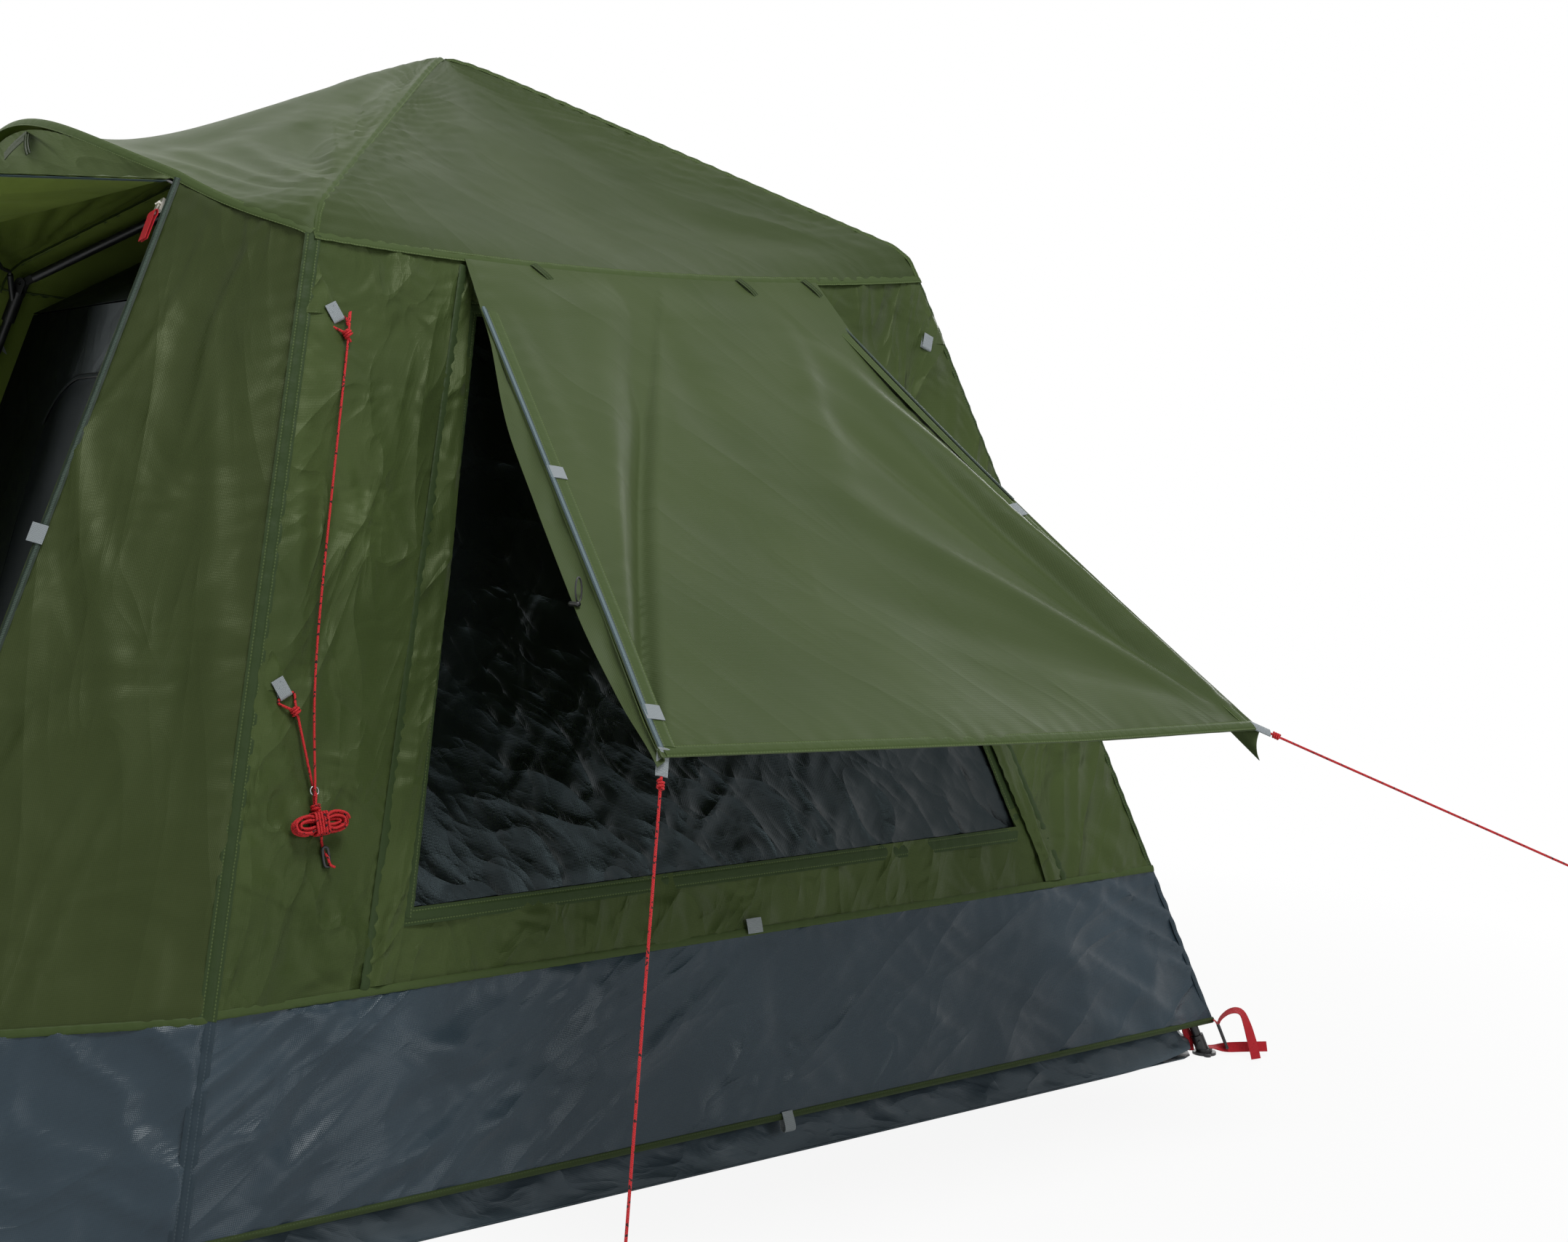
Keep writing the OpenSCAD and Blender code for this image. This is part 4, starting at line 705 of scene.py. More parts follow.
def hankPoint(s):
    m = np.mod(s, 2 * stretch)
    turn = np.abs(m - stretch)
    depth = layer * ((1 - hank["layers"]) / 2 + sum(smooth((s - c * stretch) * 2 + 0.5) for c in (1, 2, 3)))
    reach = hank["inner"] + hank["pitch"] * turn
    y = (hank["half"] + hank["pitch"] * turn) * np.cos(2 * math.pi * s)
    across = np.sin(2 * math.pi * s)
    drawn = 1 - hank["narrow"] / (1 + (y / hank["waist"]) ** 6)
    return stacked(reach * np.sign(across) * np.abs(across) ** 0.7 * drawn, y, depth)


def hankPlace(points):
    return wallPlace(hankAt + turnFlat(points, hank["tilt"]))


layStep = 5.3
wrapHalf = layStep * hank["wraps"] / 2
bundleW = ((hank["inner"] + hank["pitch"] * (stretch - 0.2))
        * (1 - hank["narrow"] / (1 + (wrapHalf / hank["waist"]) ** 6)))
bundleD = layer * (hank["layers"] - 1) / 2
wrapTurn = np.linspace(0, hank["wraps"], hank["wraps"] * 36 + 1)
wrapA = 2 * math.pi * wrapTurn
wrapX, wrapZ = np.cos(wrapA), np.sin(wrapA)
wrapPoints = stacked(bundleW * np.clip(3 * wrapX, -1, 1) + 5.2 * wrapX, layStep * wrapTurn - wrapHalf,
        bundleD * np.clip(3 * wrapZ, -1, 1) + 5.2 * wrapZ)
# each line of it: its path, what ends it, how it lies and the node that it stands for
guyRows = {
    "bridleRope": (wallPlace(curveThrough(bridlePoints, 4.0)), "object", "taut", "bridle_rope"),
    "linkRope": (wallPlace(curveThrough(linkPoints, 2.5)), "bare", "hanging"),
    "tailRope": (wallPlace(curveThrough(tailPoints, 2.5)), "bare", "hanging"),
    "hankRope": (hankPlace(hankPoint(np.linspace(0, 8, 8 * 44 + 1))), "bare", "coiled", "guy_hank"),
    "hankWraps": (hankPlace(wrapPoints), "bare", "coiled"),
}
for name, (path, _, _, *replaced) in guyRows.items():
    line = layTube(name, path, rope["thick"], redRope, sides=8, up=(1, 0.03, 0.05))
    fasten(line, "shelter", "red_rope", *replaced)
knotSpot, loopWay = [[knotFrom, 0, guy["out"]]], turnFlat([[1, 0, 0]], guy["loopTurn"])[0]
for name, at, along in (("guyKnotHigh", turnedAt(highLoop, knotSpot)[0], loopWay),
                        ("guyKnotLow", turnedAt(lowLoop, knotSpot)[0], loopWay),
                        ("guyKnotLink", linkKnot, (0, 1.0, 0))):
    wound = wallPlace(knotTurns(at, along, (0, 0, 1.0), 2.5, 7.0, 4.7))
    turns = layTube(name, wound, rope["thick"], redRope, sides=8)
    fasten(turns, "shelter", "red_rope")
print("corner guy line laid")


# roof: each side panel hangs between two hips, and the front one reaches out to the brow
def hip(v, ridge, low):
    b = tent["bend"]
    k = np.clip((v - b) / (1 - b), 0, 1)
    reach = np.where(v <= b, ridge * v / b, lerp(ridge, low, k))
    height = np.where(v <= b, tent["apexH"] + (tent["elbowH"] - tent["apexH"]) * v / b,
            lerp(tent["elbowH"], tent["eaveH"], k))
    return reach, height


# the bend over the elbow is a rounded shoulder in cloth, a mean over points to both sides of it
roundOver = (-0.035, -0.018, 0, 0.018, 0.035)


def softHip(v, ridge, low):
    near = np.exp(-((v - tent["bend"]) / 0.05) ** 2)
    parts = [hip(np.clip(v + d, 0, 1), ridge, low) for d in roundOver]
    mean = [sum(p[i] for p in parts) / len(parts) for i in (0, 1)]
    sharp = hip(v, ridge, low)
    return tuple(sharp[i] + (mean[i] - sharp[i]) * near for i in (0, 1))


def roofPoint(u, v, out, along, mid):
    hx, hz = softHip(v, *out)
    wy, _ = softHip(v, *along)
    mz = (tent["apexH"] + (tent["eaveH"] - tent["eaveSag"] - tent["apexH"]) * v
            - 4 * tent["roofSag"] * v * (1 - v))
    mx = mid * v
    return capped(stacked(mx + (hx - mx) * u ** 2, wy * u, mz + (hz - mz) * u ** 2))


edgeX = (halfX(tent["elbowH"]), halfX(tent["eaveH"]))
edgeY = (halfY(tent["elbowH"]), halfY(tent["eaveH"]))
brow = {"reach": 0.253, "rise": 0.215, "corner": 0.736, "forward": 0.03, "lower": 0.006, "cap": 0.05,
        "capFall": 0.45}


# the brow pole's arch; turned down, it is the seam, which falls to the eave at the corners
def browPoint(a, inset=0.0, down=0.0):
    s = np.sin(a)
    fall = down * np.clip(1 - s / brow["corner"], 0, 1)
    mid = smooth((s - brow["corner"]) / (1 - brow["corner"]))
    return stacked((lerp(edgeX[0], edgeX[1], fall) - inset) * np.cos(a),
            -(lerp(edgeY[0], edgeY[1], fall) - inset + brow["reach"] * s ** 1.4 + brow["forward"] * mid),
            lerp(tent["elbowH"], tent["eaveH"], fall) - 1.2 * inset + brow["rise"] * s ** 4
            - brow["lower"] * mid)


# the cloth is rounded over the hub's cap
def capped(p):
    away = np.hypot(p[..., 0], p[..., 1])
    p[..., 2] -= brow["capFall"] * (np.hypot(away, brow["cap"]) - away)
    return p


def frontFold(a, v):
    apex = np.array([0, 0, tent["apexH"]])
    bend = 1 - (1 - tent["bend"]) * np.clip(1 - np.sin(a) / brow["corner"], 0, 1) ** 0.6 - 1e-4
    ridge, low = browPoint(a), browPoint(a, 0.0, 1.0)
    v = np.clip(v, 0, 1)
    return np.where((v <= bend)[..., None], lerp(apex, ridge, v / bend),
            lerp(ridge, low, (v - bend) / (1 - bend)))


def frontPoint(a, v):
    near = np.exp(-((v - tent["bend"]) / 0.05) ** 2)
    sharp = frontFold(a, v)
    mean = sum(frontFold(a, v + d) for d in roundOver) / len(roundOver)
    p = lerp(sharp, mean, near * (v < 0.995))
    sag = (tent["browSag"] * 9.48 * v ** 3 + tent["frontSag"] * 4 * v) * (1 - v)
    p[..., 2] -= sag * np.sin(a) ** 2
    return capped(p)


roofFolds = {
    "right": [(-0.70, 0.06, -0.30, 0.42, 0.05, 0.006), (0.70, 0.06, 0.25, 0.36, 0.05, 0.007),
              (0.66, 0.10, 0.05, 0.30, 0.06, -0.006), (-0.05, 0.90, -0.25, 0.30, 0.05, 0.006),
              (0.05, 0.90, 0.22, 0.25, 0.05, -0.006), (0.0, 0.05, 0.02, 0.5, 0.09, -0.006)],
    "front": [(s * x0, y0, s * x1, y1, w, d) for s in (1, -1) for x0, y0, x1, y1, w, d in (
              (0.72, 0.14, 0.20, 0.22, 0.022, 0.007), (0.72, 0.16, 0.22, 0.36, 0.022, 0.008),
              (0.70, 0.18, 0.24, 0.52, 0.024, -0.007), (0.74, 0.10, 0.30, 0.10, 0.020, 0.006),
              (0.66, 0.24, 0.20, 0.66, 0.028, 0.007), (0.30, 0.02, 0.05, 0.80, 0.05, -0.006),
              (0.46, 0.60, 0.12, 0.86, 0.020, 0.005), (0.50, 0.50, 0.14, 0.74, 0.022, -0.005))],
    "plain": [(-0.66, 0.06, -0.2, 0.4, 0.05, 0.006), (0.66, 0.06, 0.25, 0.4, 0.05, 0.006),
              (0.0, 0.9, 0.1, 0.3, 0.05, -0.005)],
}


def roofRelief(marks, seed):
    def relief(m):
        edge = m.edge * 0.72
        side = np.where(m.left < m.right, 0.0, 5.0)
        height = folded(m, marks, 0.0035, 0.24, seed)
        height += 0.005 * creases(np.abs(m.x), m.y, -40, 0.05, 3.0, seed + 3) * np.exp(-edge / 0.12)
        height += puckers(m.y + side, edge, 0.036, 0.005, 0.06, seed + 1)
        height += puckers(m.x, m.low, 0.034, 0.0022, 0.05, seed + 2)
        return height * smooth(np.minimum(edge, m.low + 0.02) / 0.02)
    return relief


def eaveLine(y, reach):  # the eave hangs a little between the corners
    return tent["eaveH"] - tent["eaveSag"] * (1 - np.clip(y / reach, -1, 1) ** 2)


apexGap = 0.006
roofMid = {"x": halfX(tent["eaveH"] - tent["eaveSag"]), "y": halfY(tent["eaveH"] - tent["eaveSag"])}
roofRows = {"Right": (edgeX, edgeY, roofMid["x"], "right", 11),
            "Back": (edgeY, edgeX, roofMid["y"], "plain", 21),
            "Left": (edgeX, edgeY, roofMid["x"], "plain", 31)}
roofPieces = {}
for turns, (side, (out, along, mid, marks, seed)) in enumerate(roofRows.items()):
    def shape(u, v, way=(out, along, mid), t=turns):
        return quarter(roofPoint(2 * u - 1, 1 - v * (1 - apexGap), *way), t)
    roofPieces[side] = laySheet("roof" + side, shape, 110, 80, roofClothPaintedShade, inside=undersideAndPaintedLight,
            relief=roofRelief(roofFolds[marks], seed))
frontShape = lambda u, v: frontPoint(math.pi * (1 - u), 1 - v * (1 - apexGap))
roofPieces["Front"] = laySheet("roofFront", frontShape, 150, 80, oliveCloth, inside=undersideAndPaintedLight,
        relief=roofRelief(roofFolds["front"], 41))

seam = {"hip": 0.017, "eave": 0.022, "brow": 0.02, "leg": 0.03, "backLeg": 0.018, "skirt": 0.014,
        "window": 0.016}
hipTapes = []
v = np.linspace(0.012, 1, 90)
for i, (sx, sy) in enumerate(((1, -1), (1, 1), (-1, 1), (-1, -1))):
    hx, hz = softHip(v, *edgeX)
    hy, _ = softHip(v, *edgeY)
    over = smooth((v - 0.88) / 0.1)
    normals = stacked(sx * (0.36 + 0.34 * over), sy * (0.36 + 0.34 * over), 0.86 - 0.55 * over)
    hipTapes.append(layTape("hipTape%d" % i, capped(stacked(sx * hx, sy * hy, hz)), normals, seam["hip"],
            oliveTape, lift=-0.0068, puff=0.0078, relief=rippled(0.04, 0.0012, 50 + i)))
hipSeams = joinPieces("hipSeams", hipTapes)
eaveTapes = []
u = np.linspace(-1, 1, 90)
for i, (turns, reachOut, reachAlong) in enumerate(threeWalls):
    z = eaveLine(u, 1)
    line = stacked(reachOut(z), u * reachAlong(tent["eaveH"]), z)
    eaveTapes.append(layTape("eaveTape%d" % i, quarter(line, turns),
            quarter(stacked(np.ones(90), 0, 0.75), turns), seam["eave"], oliveTape, lift=0.001,
            relief=rippled(0.034, 0.0012, 60 + i)))
eaveSeams = joinPieces("eaveSeams", eaveTapes)
angle = np.linspace(0.03, math.pi - 0.03, 120)
browSeam = layTape("browSeam", browPoint(angle, 0.0, 1.0), stacked(0.35 * np.cos(angle), -0.75, 0.75),
        seam["brow"], oliveTape, lift=0.0005)
eaveTie = {"at": (-0.285, 0.225, 0.405), "wide": 0.014, "run": 0.034, "fall": 0.05}
ties = []
for sx in (1, -1):
    for y in eaveTie["at"]:
        k = np.linspace(0, 1, 12)
        z = eaveLine(y, halfY(tent["eaveH"])) + 0.002 - eaveTie["fall"] * k * (1.0 if sx > 0 else 0.6)
        for stand, slip in ((0.004, 0.0), (0.008, 0.006)):
            out = halfX(z) + stand + 0.016 * np.sin(2.4 * k)
            line = stacked(sx * out, y + eaveTie["run"] * k + slip * k, z)
            ties.append(layStrap("tie", line, (sx, 0.1, 0.5), eaveTie["wide"], bindingTape, 0.0014, columns=3))
eaveTies = joinPieces("eaveTies", ties)
roofTrim = {"Right": [hipSeams, eaveSeams, eaveTies], "Front": [browSeam]}
for side, piece in roofPieces.items():
    declare(piece, "shelter",
            ["roof_" + side.lower()], roofTrim.get(side, []))
print("roof sewn")


# walls: flat panels that lean in; the side ones have a window with a stitched border and a zip line
window = {"edge": 0.365, "low": 0.53, "high": 1.57, "border": 0.03, "zipTop": (0.443, 1.605),
        "zipLow": (0.854, 0.41), "zipEdge": 0.339, "zipIn": 0.055, "zipFall": 1.195, "band": 0.13}
wallGrid = {"side": 30, "mid": 124, "low": 12, "tall": 84, "top": 9}


def gridSize(grid):
    return 2 * grid["side"] + grid["mid"], grid["low"] + grid["tall"] + grid["top"]


# the shares of a grid where its opening starts across, and where it starts and ends upward
def gridShares(grid):
    columns, rows = gridSize(grid)
    return grid["side"] / columns, grid["low"] / rows, (grid["low"] + grid["tall"]) / rows


def gridHole(grid):
    a, low, high = gridShares(grid)
    return lambda u, v: (u > a) & (u < 1 - a) & (v > low) & (v < high)


def besideHole(u, a, half, margin, gap):  # a margin at each side, and the opening's own width between them
    return np.where(u < a, -half + margin * u / a,
            np.where(u > 1 - a, half - margin * (1 - u) / a, (2 * (u - a) / (1 - 2 * a) - 1) * gap))


def sideWallPoint(u, v, sx):
    a, b1, b2 = gridShares(wallGrid)
    if sx < 0:
        u = 1 - u
    guess = halfY(tent["eaveH"]) * (2 * u - 1)
    below = tent["skirtH"] + (window["low"] - tent["skirtH"]) * v / b1
    beside = window["low"] + (window["high"] - window["low"]) * (v - b1) / (b2 - b1)
    above = window["high"] + (eaveLine(guess, halfY(tent["eaveH"])) - window["high"]) * (v - b2) / (1 - b2)
    z = np.where(v < b1, below, np.where(v > b2, above, beside))
    half = halfY(z)
    return stacked(sx * halfX(z), besideHole(u, a, half, window["edge"], half - window["edge"]), z)


wallFolds = {
    "right": [(-0.78, 1.20, -0.98, 0.35, 0.028, 0.007), (-0.74, 1.22, -0.88, 0.30, 0.03, -0.006),
              (-0.95, 0.85, -1.02, 0.15, 0.03, 0.006), (-0.60, 1.15, -0.80, 0.55, 0.03, 0.006),
              (-1.05, 0.30, -0.78, 0.62, 0.03, 0.006), (-1.10, 0.02, -0.70, 0.12, 0.03, 0.006),
              (0.76, 1.2, 0.95, 0.4, 0.03, 0.006), (0.74, 1.1, 0.84, 0.3, 0.03, -0.006),
              (1.08, 0.05, 0.7, 0.12, 0.03, 0.005)],
    "left": [(-0.75, 1.2, -0.95, 0.3, 0.03, 0.006), (0.75, 1.2, 0.95, 0.3, 0.03, 0.006),
             (1.0, 0.1, 0.7, 0.3, 0.03, -0.005)],
    "back": [(-0.7, 1.25, -0.3, 0.3, 0.05, 0.008), (0.7, 1.25, 0.35, 0.35, 0.05, 0.008),
             (0.0, 1.2, 0.05, 0.1, 0.06, -0.007), (-1.0, 0.05, -0.4, 0.5, 0.05, 0.007),
             (1.0, 0.05, 0.45, 0.5, 0.05, 0.007)],
}


def sideWallRelief(marks, seed, deep, slant):
    def relief(m):
        side = np.where(m.left < m.right, 0.0, 7.0)
        z = tent["skirtH"] + m.y / nx
        beside = np.abs(m.edge - window["edge"])
        height = folded(m, marks, 0.004, 0.16, seed)
        flat = smooth(np.abs(m.edge - window["edge"] + 0.06) / 0.08)
        fold = deep * creases(np.abs(m.x), m.y, slant, 0.075, 6.0, seed + 6)
        height += flat * fold * (m.edge < window["edge"]) * smooth(m.edge / 0.06)
        height += puckers(z + side, beside, 0.032, 0.0030, 0.028, seed + 1)
        zipAt = window["zipEdge"] - window["zipIn"] * (window["zipTop"][1] - z) / window["zipFall"]
        height += puckers(z + side, np.abs(m.edge - zipAt), 0.028, 0.0030, 0.022, seed + 2)
        height += puckers(z + side, m.edge, 0.05, 0.0030, 0.05, seed + 3)
        under = np.clip(m.y / nx, 0, window["band"]) / window["band"]
        inBand = (m.edge > window["edge"]) & (z < window["low"])
        height += np.where(inBand, np.sin(math.pi * under) * 0.005 * bumps(m.x, 0 * m.x, 0.035, seed + 4), 0)
        height += puckers(m.x, m.top, 0.03, 0.0022, 0.04, seed + 5)
        return height * smooth(m.rim / 0.012)
    return relief


wallRight, wallLeft = [
    laySheet("wall" + sideName[sx], lambda u, v, s=sx: sideWallPoint(u, v, s), *gridSize(wallGrid), wallCloth,
             relief=sideWallRelief(wallFolds[marks], seed, deep, slant), inside=undersideAndPaintedLight,
             hole=gridHole(wallGrid))
    for sx, marks, seed, deep, slant in ((1, "right", 101, 0.010, 74), (-1, "left", 111, 0.005, 70))]


def backWallPoint(u, v):
    s = 1 - 2 * u
    z = tent["skirtH"] + (eaveLine(s, 1) - tent["skirtH"]) * v
    return stacked(s * halfX(z), halfY(z), z)


def backRelief(m):
    height = folded(m, wallFolds["back"], 0.005, 0.2, 121)
    height += puckers(m.y, m.edge, 0.05, 0.003, 0.05, 122) + puckers(m.x, m.top, 0.03, 0.0022, 0.04, 123)
    return height * smooth(m.rim / 0.012)


wallBack = laySheet("wallBack", backWallPoint, 140, 90, wallCloth, relief=backRelief, inside=undersideAndPaintedLight)


# screen: fine black mesh, slack between its edges
def screenPoint(u, v, sx):
    z = lerp(window["low"], window["high"], v)
    half = halfY(z) - window["edge"] + 0.004
    return stacked(sx * (halfX(z) - 0.004), sx * half * (2 * u - 1), z)


screenFolds = [(-0.7, 0.05, -0.3, 0.75, 0.035, 0.006), (-0.2, 0.02, -0.1, 0.5, 0.03, 0.007),
        (0.15, 0.02, 0.2, 0.45, 0.03, -0.006), (0.4, 0.02, 0.35, 0.55, 0.03, 0.007),
        (0.62, 0.03, 0.45, 0.6, 0.03, 0.006), (-0.45, 0.02, -0.4, 0.4, 0.03, -0.006)]


def screenRelief(seed):
    def relief(m):
        height = 0.5 * strokes(m.x, m.y, screenFolds) + 0.003 * bumps(m.x, m.y, 0.12, seed)
        height += 0.004 * creases(m.x, m.y, 52, 0.06, 3.0, seed + 1) * (0.2 + np.exp(-m.low / 0.35))
        return height * smooth(m.rim / 0.03)
    return relief


screenRight, screenLeft = [
    laySheet("windowScreen" + sideName[sx], lambda u, v, s=sx: screenPoint(u, v, s), 120, 90, meshCloth,
             relief=screenRelief(seed), thick=0.0008) for sx, seed in ((1, 131), (-1, 141))]

# a placket of folded cloth covers the zip down each side of the opening
placket = {"wide": 0.056, "top": 0.026, "stand": 0.010, "under": 0.003}


def placketPoint(u, v, s, sx):
    if s * sx > 0:
        u = 1 - u
    k = 1 - v
    y = lerp(window["zipTop"][0], window["zipLow"][0], k)
    z = window["zipTop"][1] + 0.05 + (window["zipLow"][1] + 0.004 - window["zipTop"][1] - 0.05) * k
    across = lerp(placket["top"], placket["wide"], smooth(k * 2)) * u
    out = (placket["under"] + placket["stand"] * np.sin(0.62 * math.pi * u)
            * smooth(np.minimum(k / 0.3, (1 - k) / 0.05)))
    return stacked(sx * (halfX(z) + out), s * (y - across), z)


def placketRelief(m):
    long = 0.004 * bumps(m.x * 6, m.y, 0.09, 156) + 0.004 * creases(m.x, m.y, 84, 0.03, 6, 157)
    return long * smooth(m.edge / 0.012) + puckers(m.y, m.edge, 0.03, 0.002, 0.01, 158)


def cornerLine(sx, sy, z):
    return stacked(sx * halfX(z), sy * halfY(z), z)


# stitched border round each screen, the plackets, and the seams of the leg lines
wallTrim = {1: [], -1: []}
for sx in (1, -1):
    out = np.array([sx, 0, kx])
    tapes = []
    for s in (1, -1):
        z = np.linspace(window["low"] - 0.015, window["high"], 60)
        y = s * (halfY(z) - window["edge"] + window["border"] / 2)
        line = stacked(sx * halfX(z), y, z)
        tapes.append(layTape("border", line, out, window["border"], wallTape, lift=0.002,
                relief=rippled(0.026, 0.0016, 151)))
    for z in (window["low"] - window["border"] / 2, window["high"] + 0.004):
        half = halfY(z) - window["edge"] + window["border"]
        y = np.linspace(-half, half, 80)
        tapes.append(layTape("border", stacked(sx * halfX(z), y, np.full(80, z)), out, window["border"],
                wallTape, lift=0.002, relief=rippled(0.03, 0.0016, 152)))
    wallTrim[sx].append(joinPieces("windowBorder" + sideName[sx], tapes))
    tapes, flaps = [], []
    for s in (1, -1):
        k = np.linspace(0, 1, 60)
        y = s * lerp(window["zipTop"][0], window["zipLow"][0], k)
        z = window["zipTop"][1] + 0.05 + (window["zipLow"][1] - window["zipTop"][1] - 0.05) * k
        tapes.append(layTape("stitch", stacked(sx * halfX(z), y, z), out, seam["window"], wallTape, lift=0.0035,
                relief=rippled(0.026, 0.0022, 153)))
        flaps.append(laySheet("flap", lambda u, v, a=s, b=sx: placketPoint(u, v, a, b), 10, 90, wallCloth,
                relief=placketRelief, inside=undersideAndPaintedLight))
    wallTrim[sx].append(joinPieces("windowStitch" + sideName[sx], tapes))
    wallTrim[sx].append(joinPieces("windowPlacket" + sideName[sx], flaps))
legTapes = []
for sx, sy in fourWays:
    facing = (sx, sy, 0.3) if sy > 0 else (sx, -0.25, 0.27)
    width, bead = (seam["backLeg"], 0.0085) if sy > 0 else (seam["leg"], 0.002)
    for low, high, tape in ((tent["skirtH"], tent["eaveH"], wallTape),
            (tent["hemH"], tent["skirtH"], slateTape)):
        z = np.linspace(low, high, 90)
        legTapes.append(layTape("leg", cornerLine(sx, sy, z), facing, width, tape,
                lift=0.0006 - (bead if sy > 0 else 0), puff=bead, relief=rippled(0.045, 0.0014, 154)))
legSeams = joinPieces("legSeams", legTapes)

# three-cornered patches take the pull of the guy loops
guyPatch = {"tall": 118.0, "wide": 70.0}


def patchPoint(u, v, z, flip):
    if flip[0] * flip[1] < 0:
        u = 1 - u
    rows = [nearCorner(z - 12 + guyPatch["tall"] * b, 4 + (guyPatch["wide"] - 4) * (1 - b) * a)
            for a, b in zip(u, v)]
    return wallPlace(np.array(rows) + (0, 0, 1.6)) * (*flip, 1)


patches = []
for z in (guy["highZ"], guy["lowZ"]):
    for flip in fourWays:
        patches.append(laySheet("guyPatch", lambda u, v, h=z, f=flip: patchPoint(u, v, h, f), 12, 20, wallCloth,
                relief=lambda m: 0.0024 * smooth(m.edge / 0.006) + 0.0012 * bumps(m.x, m.y, 0.03, 155)))
guyPatches = joinPieces("guyPatches", patches)
declare(wallRight, "shelter", ["wall_right"],
        wallTrim[1] + [legSeams, guyPatches])
declare(wallLeft, "shelter", ["wall_left"],
        wallTrim[-1])
declare(wallBack, "shelter", ["wall_back"])
for side, screen in (("right", screenRight), ("left", screenLeft)):
    declare(screen, "shelter", ["window_screen_" + side])
print("walls and screens sewn")


# skirts: slate cloth below the walls, pulled into slanting folds by the corners
def skirtPoint(u, v, turns, reachOut, reachAlong):
    z = lerp(tent["hemH"], tent["skirtH"], v)
    return quarter(stacked(reachOut(z), (2 * u - 1) * reachAlong(z), z), turns)


skirtFolds = [(-1.16, 0.02, -0.55, 0.30, 0.025, 0.009), (-1.15, 0.05, -0.80, 0.32, 0.022, -0.008),
        (-1.17, 0.0, -0.25, 0.16, 0.022, 0.007), (-0.6, 0.02, -0.1, 0.25, 0.025, 0.006),
        (0.0, 0.02, 0.05, 0.3, 0.03, -0.005), (1.15, 0.02, 0.6, 0.28, 0.025, 0.008),
        (1.15, 0.03, 0.35, 0.14, 0.022, -0.006), (0.5, 0.05, 0.2, 0.3, 0.025, 0.006),
        (-0.9, 0.31, -0.35, 0.05, 0.025, 0.006)]


def skirtRelief(seed):
    def relief(m):
        height = strokes(m.x, m.y, skirtFolds) + 0.005 * bumps(m.x + 0.7 * m.y, m.y * 1.4, 0.13, seed)
        height += 0.010 * creases(np.abs(m.x), m.y, -32, 0.05, 4.0, seed + 3) * (0.4 + np.exp(-m.edge / 0.4))
        height += (puckers(m.x, m.top, 0.04, 0.0025, 0.03, seed + 1)
                + puckers(m.x, m.low, 0.05, 0.002, 0.03, seed + 2))
        return height * smooth(np.minimum(m.edge, np.minimum(m.low + 0.004, m.top)) / 0.012)
    return relief


skirts = {}
for side, way, seed in zip(("Right", "Back", "Left"), threeWalls, (201, 211, 221)):
    skirts[side] = laySheet("skirt" + side, lambda u, v, w=way: skirtPoint(u, v, *w), 180, 30, slateCloth,
            relief=skirtRelief(seed))

# vestibule: each side runs from the leg line to the door's edge under the brow
door = {"headHalf": 0.5, "lowHalf": 0.99, "lowY": 1.83, "length": 1.96, "outHalf": 0.99, "fall": 0.155,
        "belly": 0.03, "bend": 0.12}
doorAngle = math.acos(door["headHalf"] / edgeX[0])
doorHead = browPoint(np.array(doorAngle))
doorLow = np.array([door["lowHalf"], -door["lowY"], tent["hemH"]])


def doorEdge(z):
    return lerp(doorLow, doorHead, (z - tent["hemH"]) / (doorHead[2] - tent["hemH"]))


underBrow = 0.0025


def vestibulePoint(u, v, sx):
    if sx > 0:
        u = 1 - u
    u = 0.004 + 0.996 * u
    leg = cornerLine(1, -1, lerp(tent["skirtH"], tent["eaveH"] - underBrow, v))
    jamb = doorEdge(lerp(tent["skirtH"], doorHead[2] - underBrow, v))
    bow = browPoint(u * doorAngle, 0.0, 1.0) - lerp(browPoint(np.array(0.0), 0.0, 1.0), doorHead, u)
    p = lerp(leg, jamb, u) + bow * (v ** 6)[..., None]
    p[..., 2] -= underBrow * v ** 6
    return p * (sx, 1, 1)


vestibuleFolds = [(-0.25, 1.25, 0.1, 0.3, 0.03, 0.008), (0.25, 1.2, 0.0, 0.2, 0.03, -0.007),
        (0.0, 1.3, 0.25, 0.1, 0.03, 0.007), (-0.3, 0.9, -0.2, 0.05, 0.03, 0.006)]


def vestibuleRelief(seed):
    def relief(m):
        height = folded(m, vestibuleFolds, 0.005, 0.15, seed)
        height += 0.006 * creases(m.x, m.y, 78, 0.07, 5.0, seed + 3)
        height += (puckers(m.y, m.edge, 0.045, 0.003, 0.04, seed + 1)
                + puckers(m.x, m.top, 0.03, 0.002, 0.04, seed + 2))
        return height * smooth(m.rim / 0.012)
    return relief


vestibules = {}
for sx, seed in ((1, 231), (-1, 241)):
    name = "vestibule" + sideName[sx]
    piece = laySheet(name, lambda u, v, s=sx: vestibulePoint(u, v, s), 50, 100, vestClothPaintedShade,
            relief=vestibuleRelief(seed), inside=undersideAndPaintedLight)
    z = np.linspace(tent["hemH"], doorHead[2] - 0.01, 120)
    edge = doorEdge(z) * (sx, 1, 1)
    inward = unit(np.cross((doorHead - doorLow) * (sx, 1, 1),
            cornerLine(sx, -1, 1.0) - doorEdge(1.0) * (sx, 1, 1)))
    facing = inward * (1 if inward[0] * sx > 0 else -1)
    toward = unit(cornerLine(sx, -1, z) - edge)
    jambZip = layTape(name + "Zip", edge + toward * 0.009, facing, 0.013, darkZipAndShadowTape, lift=0.004,
            relief=rippled(0.04, 0.0012, 251))
    vestibules["vestibule_" + sideName[sx].lower()] = piece, jambZip

